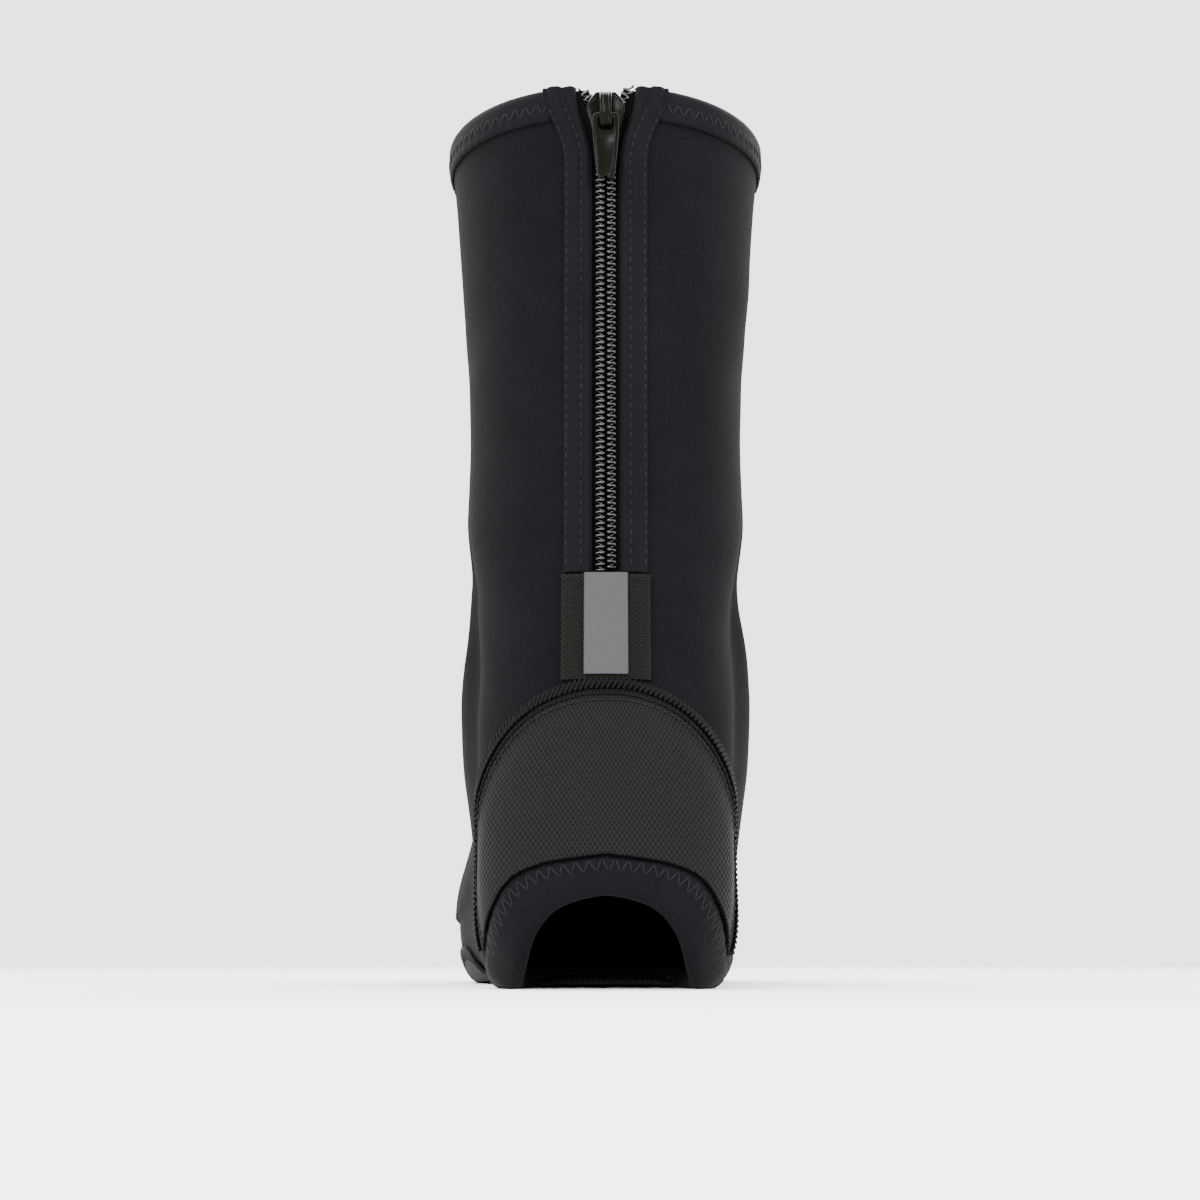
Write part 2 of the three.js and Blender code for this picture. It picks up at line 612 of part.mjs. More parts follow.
function makeArchGusset(half) {
  const outer = -STRIP_CLOTH - GAP;
  return layer(outer, outer - GUSSET_CLOTH)
    .intersect(archRegion(0))
    .intersect(half)
    .subtract(archStripArea(-GUSSET_LAP))
    .subtract(heelOpening(0))
    .subtract(forefootOpening(0));
}

// The frame of the zip at a height on the back line: x across, u up along the shell, n outward.
function zipFrame(z) {
  let [low, high] = [runs[FOREFOOT_SECTIONS.length + HEEL_SECTIONS.length], runs.at(-1)];
  for (let i = 0; i < 40; i += 1) {
    const middle = (low + high) / 2;
    if (columnAt.soleZ(middle) < z) low = middle;
    else high = middle;
  }
  const [below, above] = [low - 0.5, low + 0.5];
  const up = new THREE.Vector3(
    0,
    columnAt.soleY(above) - columnAt.soleY(below),
    columnAt.soleZ(above) - columnAt.soleZ(below),
  ).normalize();
  const across = new THREE.Vector3(1, 0, 0);
  const out = across.clone().cross(up);
  return new THREE.Matrix4().makeBasis(across, up, out).setPosition(0, columnAt.soleY(low), z);
}

// A flat plate in the zip's frame, from its outline's [x, u] points, between two heights along n.
function plate(shape, low, high) {
  const options = { depth: high - low, bevelEnabled: false, curveSegments: 5 };
  const geometry = new THREE.ExtrudeGeometry(shape, options);
  return solidOf(geometry, new THREE.Matrix4().makeTranslation(0, 0, low));
}

function sliderOutline() {
  const [w, waist, l] = [SLIDER_WIDTH / 2, SLIDER_WAIST / 2, SLIDER_LENGTH / 2];
  return new THREE.Shape()
    .moveTo(-waist * 0.8, -l)
    .lineTo(waist * 0.8, -l)
    .quadraticCurveTo(waist, -l, waist, -l * 0.8)
    .bezierCurveTo(waist, -l * 0.2, w, -l * 0.1, w, l * 0.35)
    .quadraticCurveTo(w * 0.95, l * 0.8, w * 0.4, l)
    .lineTo(-w * 0.4, l)
    .quadraticCurveTo(-w * 0.95, l * 0.8, -w, l * 0.35)
    .bezierCurveTo(-w, -l * 0.1, -waist, -l * 0.2, -waist, -l * 0.8)
    .quadraticCurveTo(-waist, -l, -waist * 0.8, -l);
}

// Heights along n of the slider's two plates, which clear the coils and the tapes between them.
const SLIDER_UNDER = COIL_THICKNESS - WALL + SLIDER_CLEARANCE / 2;
const SLIDER_TOP = SLIDER_UNDER + SLIDER_PLATE;
const SLIDER_INNER = -WALL - GAP - TAPE_CLOTH - SLIDER_CLEARANCE - GAP;
const PIVOT_HEIGHT = SLIDER_TOP + (CROWN_HEIGHT - CROWN_BAR) / 2;

// The arch that stands on the slider and holds the pull tab's bar.
function sliderCrown() {
  const half = CROWN_LENGTH / 2;
  const height = CROWN_HEIGHT;
  const arch = new THREE.Shape()
    .moveTo(-half, -SLIDER_PLATE / 2)
    .lineTo(half, -SLIDER_PLATE / 2)
    .bezierCurveTo(half, height * 0.8, half * 0.8, height, half * 0.4, height)
    .lineTo(-half * 0.4, height)
    .bezierCurveTo(-half * 0.8, height, -half, height * 0.8, -half, -SLIDER_PLATE / 2);
  const slotHalf = half - CROWN_BAR * 1.6;
  const slotTop = height - CROWN_BAR;
  arch.holes.push(new THREE.Path()
    .moveTo(-slotHalf, 0)
    .lineTo(-slotHalf * 0.9, slotTop)
    .lineTo(slotHalf * 0.9, slotTop)
    .lineTo(slotHalf, 0)
    .closePath());
  const options = { depth: CROWN_WIDTH, bevelEnabled: false, curveSegments: 4 };
  const geometry = new THREE.ExtrudeGeometry(arch, options);
  // The shape's x becomes u and its y becomes n.
  const turn = new THREE.Matrix4().makeBasis(
    new THREE.Vector3(0, 1, 0),
    new THREE.Vector3(0, 0, 1),
    new THREE.Vector3(1, 0, 0),
  );
  const place = new THREE.Matrix4().makeTranslation(-CROWN_WIDTH / 2, 0, SLIDER_TOP);
  return solidOf(geometry, place.multiply(turn));
}

// The post that joins the slider's plates, between the parting coils.
function sliderPost() {
  const top = SLIDER_LENGTH / 2 - GAP;
  const low = top - SLIDER_POST_LENGTH;
  const spread = coilAt(SHAFT_HEIGHT - SLIDER_DROP) - COIL_WIDTH / 2 - GAP;
  return plate(
    new THREE.Shape([
      new THREE.Vector2(-spread * 0.75, top),
      new THREE.Vector2(-spread * 0.2, low),
      new THREE.Vector2(spread * 0.2, low),
      new THREE.Vector2(spread * 0.75, top),
    ]),
    SLIDER_INNER - SLIDER_BACK_PLATE / 2,
    SLIDER_UNDER + SLIDER_PLATE / 2,
  );
}

function makeSlider() {
  return plate(sliderOutline(), SLIDER_UNDER, SLIDER_TOP)
    .add(plate(sliderOutline(), SLIDER_INNER - SLIDER_BACK_PLATE, SLIDER_INNER))
    .add(sliderPost())
    .add(sliderCrown());
}

// The pull tab in its own frame, hanging down from its bar, which lies at the origin.
function makePullTab() {
  const [top, end] = [TAB_TOP_WIDTH / 2, TAB_END_WIDTH / 2];
  const bar = TAB_THICKNESS / 2;
  const window = CROWN_LENGTH / 2 - TAB_PIVOT_DROP + GAP * 2;
  const shoulder = window + TAB_RAIL;
  const shape = new THREE.Shape()
    .moveTo(-top, bar)
    .lineTo(top, bar)
    .lineTo(top, -shoulder)
    .absarc(0, -TAB_LENGTH + end, end, 0, -Math.PI, true)
    .lineTo(-top, -shoulder)
    .closePath();
  const inner = top - TAB_RAIL;
  shape.holes.push(new THREE.Path()
    .moveTo(-inner, -bar)
    .lineTo(-inner, -window)
    .lineTo(inner, -window)
    .lineTo(inner, -bar)
    .closePath());
  return plate(shape, -TAB_THICKNESS / 2, TAB_THICKNESS / 2);
}

// The shoe, as named meshes in one group.
const NEOPRENE = { color: 0x1b181d, roughness: 0.9 };
const BINDING = { color: 0x17171c, roughness: 0.85 };
const WOVEN = { color: 0x1d1e1f, roughness: 0.7 };
const ELASTIC = { color: 0x15130f, roughness: 0.85 };
const WEBBING = { color: 0x14130f, roughness: 0.8 };
const REFLECTIVE = { color: 0x75757a, roughness: 0.5 };
const TAPE = { color: 0x0c0c0d, roughness: 0.85 };
const COIL = { color: 0x16140f, roughness: 0.3 };
const METAL = { color: 0x14120c, roughness: 0.25, metalness: 0.8 };

const shoe = new THREE.Group();
function add(name, solid, finish) {
  const source = solid.getMesh();
  const geometry = new THREE.BufferGeometry()
    .setAttribute("position", new THREE.BufferAttribute(new Float32Array(source.vertProperties), 3))
    .setIndex(new THREE.BufferAttribute(new Uint32Array(source.triVerts), 1));
  const mesh = new THREE.Mesh(geometry, new THREE.MeshStandardMaterial(finish));
  mesh.name = name;
  shoe.add(mesh);
  return mesh;
}

const WEBBING_INNER = GAP;
const REFLECTOR_INNER = WEBBING_INNER + WEBBING_CLOTH + GAP;

add("upper", makeUpper(), NEOPRENE);
add("collar_binding", makeCollarBinding(), BINDING);
add("heel_opening_binding", bindingRound(heelOpening, HEEL_BINDING_LAP), BINDING);
add("forefoot_opening_binding", bindingRound(forefootOpening, FOREFOOT_BINDING_LAP), BINDING);
add("heel_patch", makeHeelPatch(), WOVEN);
add("heel_patch_cord", makePatchCord(), WOVEN);
add("arch_strip", makeArchStrip(), WOVEN);
add("arch_gusset_lateral", makeArchGusset(lateralHalf), ELASTIC);
add("arch_gusset_medial", makeArchGusset(medialHalf), ELASTIC);
add("webbing_tab", makeBackStrip(WEBBING_WIDTH, WEBBING_INNER, WEBBING_CLOTH), WEBBING);
add("reflective_strip", makeBackStrip(REFLECTOR_WIDTH, REFLECTOR_INNER, REFLECTOR_CLOTH), REFLECTIVE);
for (const [name, side, half] of [["lateral", -1, lateralHalf], ["medial", 1, medialHalf]]) {
  add(`zip_facing_${name}`, makeZipFacing(half), BINDING);
  add(`zip_tape_${name}`, makeTape(side), TAPE);
  add(`zip_coil_${name}`, makeCoil(side), COIL);
}

const sliderFrame = zipFrame(SHAFT_HEIGHT - SLIDER_DROP - SLIDER_LENGTH / 2);
const slider = add("zip_slider", makeSlider(), METAL);
slider.applyMatrix4(sliderFrame);

// The tab hangs plumb from the crown.
const pivot = new THREE.Vector3(0, -TAB_PIVOT_DROP, PIVOT_HEIGHT).applyMatrix4(sliderFrame);
const tab = add("zip_pull_tab", makePullTab(), METAL);
tab.rotation.x = Math.PI / 2;
tab.position.copy(pivot);

// The origin goes to the middle of the shoe's box, on the floor.
const box = new THREE.Box3().setFromObject(shoe);
shoe.position.set(-(box.min.x + box.max.x) / 2, -(box.min.y + box.max.y) / 2, -box.min.z);

export default shoe;
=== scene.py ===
# %% [markdown]
# # A winter cycling overshoe, seen from behind
# The shoe cover is a thin neoprene shell with a zip up its back and an open sole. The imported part
# is loaded first. It stays as the frame, and every visible piece below is laid on the same form.

# %% Load the frame
import bpy, math
import numpy as np
from mathutils import Matrix, Vector
from mathutils.bvhtree import BVHTree


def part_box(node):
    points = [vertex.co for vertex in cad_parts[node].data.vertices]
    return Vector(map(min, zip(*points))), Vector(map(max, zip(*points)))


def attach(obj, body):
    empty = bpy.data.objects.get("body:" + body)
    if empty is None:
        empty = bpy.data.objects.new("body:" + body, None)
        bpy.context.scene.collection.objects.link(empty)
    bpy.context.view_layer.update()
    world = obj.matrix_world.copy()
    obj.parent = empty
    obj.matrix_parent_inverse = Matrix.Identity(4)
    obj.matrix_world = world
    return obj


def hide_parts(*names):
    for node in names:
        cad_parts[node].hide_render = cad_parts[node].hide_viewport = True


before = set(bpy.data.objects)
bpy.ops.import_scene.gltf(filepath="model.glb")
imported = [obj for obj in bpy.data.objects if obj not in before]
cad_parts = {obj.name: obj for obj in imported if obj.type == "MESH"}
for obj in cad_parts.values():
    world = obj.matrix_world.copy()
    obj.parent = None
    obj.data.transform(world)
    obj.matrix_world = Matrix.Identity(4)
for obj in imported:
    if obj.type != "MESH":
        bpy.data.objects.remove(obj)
bpy.context.view_layer.update()
MM = 0.001

# %% [markdown]
# ## Sizes
# These are the shoe's own sizes in metres. The clearances and cloth thicknesses are those of the
# solids, so that each dressed piece lies where its solid does.

# %% Sizes of the shell and its cloths
FOOT_LENGTH, BALL_WIDTH, HEEL_WIDTH = 290 * MM, 102 * MM, 77 * MM
ANKLE_BEND_HEIGHT, SHAFT_HEIGHT = 125 * MM, 262 * MM
COLLAR_WIDTH, COLLAR_DEPTH = 98 * MM, 104 * MM
WALL, GAP = 3 * MM, 0.3 * MM
BINDING_CLOTH, PATCH_CLOTH, STRIP_CLOTH = 0.9 * MM, 0.9 * MM, 1.2 * MM
TAPE_CLOTH, WEBBING_CLOTH, REFLECTOR_CLOTH = 0.6 * MM, 1.2 * MM, 0.35 * MM
BINDING_FOLD, PRESSED_FLAT = 1.5 * MM, 0.25 * MM
OVERRUN = 22 * MM

# %% [markdown]
# ## The form
# A foot and shin can be described by rings: upright slices through the forefoot that fan round the
# heel until they lie flat at the collar. A few rings with listed proportions are enough, and
# a smooth curve through each column gives every slice between them. This way was chosen, rather
# than sculpting, because every strip of cloth can then be placed by its own measurements.

# %% Rings of the foot and the shaft
COLUMNS = ("sole_y", "sole_z", "top_y", "top_z", "lateral", "medial",
           "swell", "swell_at", "corner_across", "corner_up", "crown")
FOREFOOT_RINGS = (
    (0.998, 0.144, 0.997, 0.248, 0.055, 0.105, 1.02, 0.42, 0.90, 0.40, 2.0),
    (0.987, 0.092, 0.982, 0.330, 0.160, 0.205, 1.03, 0.40, 0.60, 0.36, 2.2),
    (0.955, 0.058, 0.948, 0.392, 0.270, 0.300, 1.04, 0.38, 0.36, 0.32, 2.3),
    (0.905, 0.032, 0.898, 0.436, 0.365, 0.380, 1.04, 0.36, 0.25, 0.32, 2.3),
    (0.830, 0.008, 0.826, 0.474, 0.450, 0.440, 1.04, 0.34, 0.20, 0.32, 2.25),
    (0.735, 0.000, 0.733, 0.508, 0.505, 0.470, 1.03, 0.32, 0.15, 0.31, 2.2),
    (0.640, 0.000, 0.642, 0.556, 0.517, 0.464, 1.03, 0.30, 0.15, 0.30, 2.1),
    (0.535, 0.000, 0.545, 0.636, 0.492, 0.432, 1.03, 0.30, 0.20, 0.28, 1.95),
    (0.435, 0.012, 0.460, 0.724, 0.450, 0.398, 1.04, 0.32, 0.24, 0.25, 1.85),
    (0.340, 0.022, 0.415, 0.796, 0.412, 0.382, 1.05, 0.38, 0.27, 0.22, 1.85),
)
HEEL_RINGS = (
    (0.235, 0.006, 0.390, 0.856, 0.512, 0.497, 1.08, 0.50, 0.25, 0.18, 1.9),
    (0.145, 0.000, 0.373, 0.904, 0.503, 0.500, 1.11, 0.56, 0.24, 0.17, 1.95),
    (0.078, 0.000, 0.362, 0.942, 0.490, 0.490, 1.15, 0.58, 0.32, 0.18, 2.0),
    (0.030, 0.028, 0.355, 0.974, 0.470, 0.470, 1.22, 0.58, 0.62, 0.21, 2.0),
    (0.006, 0.120, 0.350, 1.006, 0.475, 0.475, 1.21, 0.57, 0.86, 0.26, 2.0),
    (0.000, 0.272, 0.346, 1.042, 0.492, 0.492, 1.17, 0.56, 0.95, 0.32, 2.0),
    (0.009, 0.500, 0.344, 1.094, 0.500, 0.500, 1.13, 0.54, 0.96, 0.38, 2.0),
    (0.028, 0.744, 0.345, 1.172, 0.505, 0.505, 1.07, 0.53, 0.97, 0.43, 2.0),
)
SHAFT_RINGS = (
    (0.117, 0.000, 0.972, 0.270, 0.432, 0.432, 1.02, 0.51, 0.97, 0.47, 2.0),
    (0.119, 0.200, 0.982, 0.395, 0.430, 0.430, 1.01, 0.50, 0.97, 0.48, 2.0),
    (0.102, 0.410, 0.993, 0.540, 0.443, 0.443, 1.01, 0.50, 0.97, 0.49, 2.0),
    (0.074, 0.625, 1.007, 0.695, 0.462, 0.462, 1.00, 0.50, 0.97, 0.49, 2.0),
    (0.050, 0.825, 1.021, 0.862, 0.482, 0.482, 1.00, 0.50, 0.97, 0.49, 2.0),
    (0.034, 1.000, 1.034, 1.000, 0.500, 0.500, 1.00, 0.50, 0.97, 0.49, 2.0),
)


def ring_sizes(row, length, rise_from, rise, breadth):
    """One row of shares as lengths in metres."""
    scale = (length, rise, length, rise, breadth, breadth, 1, 1, 1, 1, 1)
    shift = (0, rise_from, 0, rise_from) + (0,) * 7
    return [share * s + d for share, s, d in zip(row, scale, shift)]


rings = (
    [ring_sizes(r, FOOT_LENGTH, 0, ANKLE_BEND_HEIGHT, BALL_WIDTH) for r in FOREFOOT_RINGS]
    + [ring_sizes(r, FOOT_LENGTH, 0, ANKLE_BEND_HEIGHT, HEEL_WIDTH) for r in HEEL_RINGS]
    + [ring_sizes(r, COLLAR_DEPTH, ANKLE_BEND_HEIGHT, SHAFT_HEIGHT - ANKLE_BEND_HEIGHT, COLLAR_WIDTH)
       for r in SHAFT_RINGS])
beyond = list(rings[-1])
beyond[1] += OVERRUN
beyond[3] += OVERRUN
rings = np.array(rings + [beyond])
sole_steps = np.hypot(*np.diff(rings[:, 0:2], axis=0).T)
top_steps = np.hypot(*np.diff(rings[:, 2:4], axis=0).T)
ring_runs = np.concatenate([[0], np.cumsum((sole_steps + top_steps) / 2)])
COLLAR_RUN = ring_runs[-2]
print("rings:", len(rings), "run from toe to collar:", round(COLLAR_RUN, 4))

# %% A smooth curve through each column
def monotone(xs, ys):
    """A curve that never overshoots its points, so that a flat sole stays flat."""
    slopes = np.diff(ys) / np.diff(xs)
    before, after = np.concatenate([slopes[:1], slopes]), np.concatenate([slopes, slopes[-1:]])
    same_way = before * after > 0
    total = np.where(same_way, before + after, 1)
    tangents = np.where(same_way, 2 * before * after / total, 0)

    def curve(x):
        """The smooth curve's value at x."""
        i = np.clip(np.searchsorted(xs, x, side="right") - 1, 0, len(xs) - 2)
        h = xs[i + 1] - xs[i]
        t = (x - xs[i]) / h
        u = 1 - t
        return (ys[i] * (1 + 2 * t) * u * u + ys[i + 1] * t * t * (3 - 2 * t)
                + h * (tangents[i] * t * u * u - tangents[i + 1] * t * t * u))
    return curve


column = {name: monotone(ring_runs, rings[:, i]) for i, name in enumerate(COLUMNS)}


def ease(t):
    """Goes smoothly from 0 to 1 as t does, and stays level beyond."""
    t = np.clip(t, 0, 1)
    return t * t * (3 - 2 * t)


# %% One half of a ring
def half_ring(size, half_width, height, steps=40):
    """From the middle of the sole to the middle of the top, as (across, up) points."""
    corner_x, corner_up = size["corner_across"] * half_width, size["corner_up"] * height
    swell_up = max(size["swell_at"] * height, corner_up)
    widest = half_width * size["swell"]
    quarter = np.linspace(0, math.pi / 2, steps + 1)
    rise = np.linspace(0, 1, steps + 1)[1:]
    across = np.concatenate([
        [0, (half_width - corner_x) / 2],
        half_width - corner_x * (1 - np.sin(quarter)),
        half_width + (widest - half_width) * ease(rise),
        widest * np.abs(np.cos(quarter[1:])) ** (2 / size["crown"])])
    up = np.concatenate([
        [0, 0],
        corner_up * (1 - np.cos(quarter)),
        corner_up + (swell_up - corner_up) * rise,
        swell_up + (height - swell_up) * np.sin(quarter[1:]) ** (2 / size["crown"])])
    across[-1] = 0
    return across, up


def ring_points(run, turns):
    """Points of the ring at a run, at turns from 0, the sole or back line, round by the inner side."""
    size = {name: float(curve(run)) for name, curve in column.items()}
    rise_y, rise_z = size["top_y"] - size["sole_y"], size["top_z"] - size["sole_z"]
    height = math.hypot(rise_y, rise_z)
    wrapped = np.mod(turns, 1)
    share = np.where(wrapped <= 0.5, wrapped * 2, 2 - wrapped * 2)
    found = np.empty((len(turns), 3))
    for side, chosen in (("medial", wrapped <= 0.5), ("lateral", wrapped > 0.5)):
        across, up = half_ring(size, size[side], height)
        lengths = np.concatenate([[0], np.cumsum(np.hypot(np.diff(across), np.diff(up)))])
        at = share[chosen] * lengths[-1]
        sign = 1 if side == "medial" else -1
        up_at = np.interp(at, lengths, up)
        found[chosen, 0] = sign * np.interp(at, lengths, across)
        found[chosen, 1] = size["sole_y"] + rise_y * up_at / height
        found[chosen, 2] = size["sole_z"] + rise_z * up_at / height
    return found


# %% The form as a fine net, used to lay every piece of cloth
# The form's heel and floor lie at 0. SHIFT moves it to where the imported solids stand.
slider_low, slider_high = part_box("zip_slider")
upper_low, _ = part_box("upper")
SHIFT = np.array([(slider_low[0] + slider_high[0]) / 2, upper_low[1], upper_low[2]])
NET_RUNS = np.concatenate([np.linspace(0, 30 * MM, 28)[:-1], np.linspace(30 * MM, ring_runs[-1], 300)])
NET_TURNS = np.arange(360) / 360
net = np.array([ring_points(run, NET_TURNS) for run in NET_RUNS])
along = np.gradient(net, axis=0)
round_ = np.roll(net, -1, axis=1) - np.roll(net, 1, axis=1)
net_normals = np.cross(round_, along)
net_normals /= np.maximum(np.linalg.norm(net_normals, axis=2, keepdims=True), 1e-12)
if np.mean(net_normals[:, 90, 0]) < 0:
    net_normals = -net_normals
row_count, turn_count = net.shape[:2]
corner = np.arange(row_count * turn_count).reshape(row_count, turn_count)
beside = np.roll(corner, -1, axis=1)
net_faces = np.stack([corner[:-1], corner[1:], beside[1:], beside[:-1]], axis=2).reshape(-1, 4)
net_tree = BVHTree.FromPolygons(net.reshape(-1, 3).tolist(), net_faces.tolist())
flat_points, flat_normals = net.reshape(-1, 3), net_normals.reshape(-1, 3)


def lay(starts, directions):
    """Where rays meet the form, and the form's smooth outward normal there."""
    hits, faces = [], []
    for start, direction in zip(starts.reshape(-1, 3), directions.reshape(-1, 3)):
        hit, _, face, _ = net_tree.ray_cast(Vector(start), Vector(direction))
        if hit is None:
            hit, _, face, _ = net_tree.find_nearest(Vector(start))
        hits.append(hit[:])
        faces.append(face)
    points = np.array(hits)
    near = net_faces[faces]
    weight = 1 / (np.linalg.norm(flat_points[near] - points[:, None], axis=2) + 1e-6)
    normals = (flat_normals[near] * weight[..., None]).sum(axis=1)
    normals /= np.linalg.norm(normals, axis=1, keepdims=True)
    return points.reshape(starts.shape), normals.reshape(starts.shape)


print("net:", net.shape, "lowest point:", net[..., 2].min().round(5))

# %% [markdown]
# ## The openings
# The collar, the zip, the heel opening, the arch and the forefoot opening are all gaps in one shell.
# Each is an outline that can grow by a margin, so that a binding knows how far it laps and a strip
# knows where to stop. They could be boolean cuts. Outlines were chosen because cloth that follows
# an edge keeps its stitches and its weave in line with that edge.

# %% Sizes of the openings and of what lies round them
HEEL_OPENING_WIDTH, HEEL_OPENING_REACH, HEEL_OPENING_RISE = 50 * MM, 62 * MM, 25 * MM
HEEL_REAR_SHARE, HEEL_REAR_POWER, HEEL_LAP_POWER, HEEL_FRONT_POWER = 0.45, 0.5, 0.68, 0.86
FOREFOOT_OPENING_START, FOREFOOT_TOE_RIM = 126 * MM, 24 * MM
FOREFOOT_RIM, FOREFOOT_REAR_RIM, FOREFOOT_SIDE_REACH = 12 * MM, 7 * MM, 1.5 * MM
COLLAR_LAP, HEEL_LAP, FOREFOOT_LAP = 9 * MM, 8.5 * MM, 8 * MM
ZIP_BOTTOM, ZIP_CHANNEL, ZIP_MOUTH, ZIP_MOUTH_HEIGHT = 117 * MM, 10.6 * MM, 20.5 * MM, 22 * MM
FACING_WIDTH = 7 * MM
STRIP_HEEL_WIDTH, STRIP_BALL_WIDTH, GUSSET_LAP = 42 * MM, 47 * MM, 3 * MM
SEAM_SPREAD, SEAM_START, SEAM_TO_SOLE_EDGE = 22 * MM, HEEL_OPENING_REACH - 18 * MM, 3 * MM
SEAM_END = FOREFOOT_OPENING_START + FOREFOOT_LAP / 2
CEILING = 16 * MM

sole_rows = rings[:, 1] < SHAFT_HEIGHT / 4
sole_y = rings[sole_rows, 0][::-1]
half_at = {1: monotone(sole_y, rings[sole_rows, 5][::-1]), -1: monotone(sole_y, rings[sole_rows, 4][::-1])}
HEEL_SIDE_ONLY = 0.65 * HEEL_OPENING_REACH
LEAN = math.atan2(HEEL_OPENING_RISE, HEEL_OPENING_REACH)
HEEL_HALF_LENGTH = math.hypot(HEEL_OPENING_RISE, HEEL_OPENING_REACH) / 2
HEEL_MIDDLE = np.array([0, HEEL_OPENING_REACH / 2, HEEL_OPENING_RISE / 2])
HEEL_FORWARD = np.array([0, math.cos(LEAN), -math.sin(LEAN)])
HEEL_INWARD = np.array([0, math.sin(LEAN), math.cos(LEAN)])
UP = np.array([0, 0, 1.0])


# %% The two openings of the sole
def heel_power(ahead, margin):
    """How square the outline is: squarest at the rear edge, rounder where the binding ends."""
    at_rear = HEEL_REAR_POWER + (HEEL_LAP_POWER - HEEL_REAR_POWER) * margin / HEEL_LAP
    return np.where(ahead < 0, at_rear, HEEL_FRONT_POWER)


def heel_outline(t, margin):
    """Points round the heel opening, from t = 0 on the inner side by the front. Rays run inward."""
    a = t * 2 * math.pi
    share = np.abs(np.sin(a)) ** heel_power(np.sin(a), margin) * np.sign(np.sin(a))
    grown = np.where(share < 0, margin * HEEL_REAR_SHARE, margin)
    across = (HEEL_OPENING_WIDTH / 2 + margin) * np.cos(a)
    ahead = (HEEL_HALF_LENGTH + grown) * share
    starts = HEEL_MIDDLE + ahead[:, None] * HEEL_FORWARD - 0.05 * HEEL_INWARD
    starts[:, 0] = across
    return starts, np.tile(HEEL_INWARD, (len(t), 1))


def forefoot_across(y, sign, margin):
    """Half width of the forefoot opening at y, on one side."""
    half = (FOOT_LENGTH - FOREFOOT_TOE_RIM - FOREFOOT_OPENING_START) / 2
    ahead = np.clip((y - FOREFOOT_OPENING_START - half) / (half + margin), -1, 1)
    power = np.where(ahead < 0, 6.0, 2.5)
    taper = np.maximum(1 - np.abs(ahead) ** power, 0) ** (1 / power)
    rim = FOREFOOT_REAR_RIM + (FOREFOOT_RIM - FOREFOOT_REAR_RIM) * ease((ahead + 1) / 2)
    width = half_at[sign](FOREFOOT_OPENING_START + half * (1 + ahead))
    return np.minimum(width - rim + margin, width - FOREFOOT_SIDE_REACH) * taper


def forefoot_outline(t, margin):
    """Points round the forefoot opening, from its rear middle by the inner side. Rays run up."""
    half = (FOOT_LENGTH - FOREFOOT_TOE_RIM - FOREFOOT_OPENING_START) / 2
    u = np.where(t < 0.5, 2 * t, 2 - 2 * t)
    ahead = np.sin((u - 0.5) * math.pi)
    y = FOREFOOT_OPENING_START + half + (half + margin) * ahead
    across = np.where(t < 0.5, forefoot_across(y, 1, margin), -forefoot_across(y, -1, margin))
    return np.stack([across, y, np.full_like(y, -0.05)], axis=1), np.tile(UP, (len(t), 1))


def even_steps(outline, count):
    """Values of t that step evenly round an outline."""
    t = np.linspace(0, 1, 6001)
    starts, _ = outline(t, 0.0)
    lengths = np.concatenate([[0], np.cumsum(np.linalg.norm(np.diff(starts, axis=0), axis=1))])
    return np.interp(np.arange(count) / count * lengths[-1], lengths, t), lengths[-1]


# %% The arch and the zip
def seam_across(y, sign):
    """Half width, at y, of the seam where the arch gusset meets the shell."""
    t = np.clip((y - SEAM_START) / (SEAM_END - SEAM_START), 0, 1)
    return SEAM_SPREAD + (half_at[sign](SEAM_END) - SEAM_TO_SOLE_EDGE - SEAM_SPREAD) * t ** 1.7


def channel_half(z):
    """Half width of the zip channel at a height. It widens to a mouth at the collar."""
    opened = ease((z - SHAFT_HEIGHT + ZIP_MOUTH_HEIGHT) / ZIP_MOUTH_HEIGHT)
    return ZIP_CHANNEL / 2 + (ZIP_MOUTH - ZIP_CHANNEL) / 2 * opened


def in_an_opening(p):
    """Whether points of the form lie in the zip channel or in an opening of the sole."""
    x, y, z = p.T
    sign = np.where(x < 0, -1, 1)
    from_middle = p - HEEL_MIDDLE
    ahead, inward = from_middle @ HEEL_FORWARD, from_middle @ HEEL_INWARD
    reached = np.abs(ahead) / HEEL_HALF_LENGTH
    heel = (2 * x / HEEL_OPENING_WIDTH) ** 2 + reached ** (2 / heel_power(ahead, 0)) < 1
    heel &= inward < HEEL_SIDE_ONLY
    low = z < CEILING
    across = np.where(sign > 0, forefoot_across(y, 1, 0.0), forefoot_across(y, -1, 0.0))
    seam = np.where(sign > 0, seam_across(y, 1), seam_across(y, -1))
    forefoot = low & (y > FOREFOOT_OPENING_START) & (np.abs(x) < across)
    arch = low & (y > SEAM_START) & (y < SEAM_END) & (np.abs(x) < seam)
    zip_ = (z > ZIP_BOTTOM) & (y < COLLAR_DEPTH / 2) & (np.abs(x) < channel_half(z))
    return heel | forefoot | arch | zip_


t_heel, heel_round = even_steps(heel_outline, 240)
t_forefoot, forefoot_round = even_steps(forefoot_outline, 420)
print("round the openings, heel and forefoot:", round(heel_round, 4), round(forefoot_round, 4))

# %% [markdown]
# ## Finishes
# Each finish is made of nodes, so that it has no picture behind it and keeps its true size. The
# effects that several finishes share are node groups. They take a pattern's size in metres and give
# back a height for the bump and a shade for the colour.

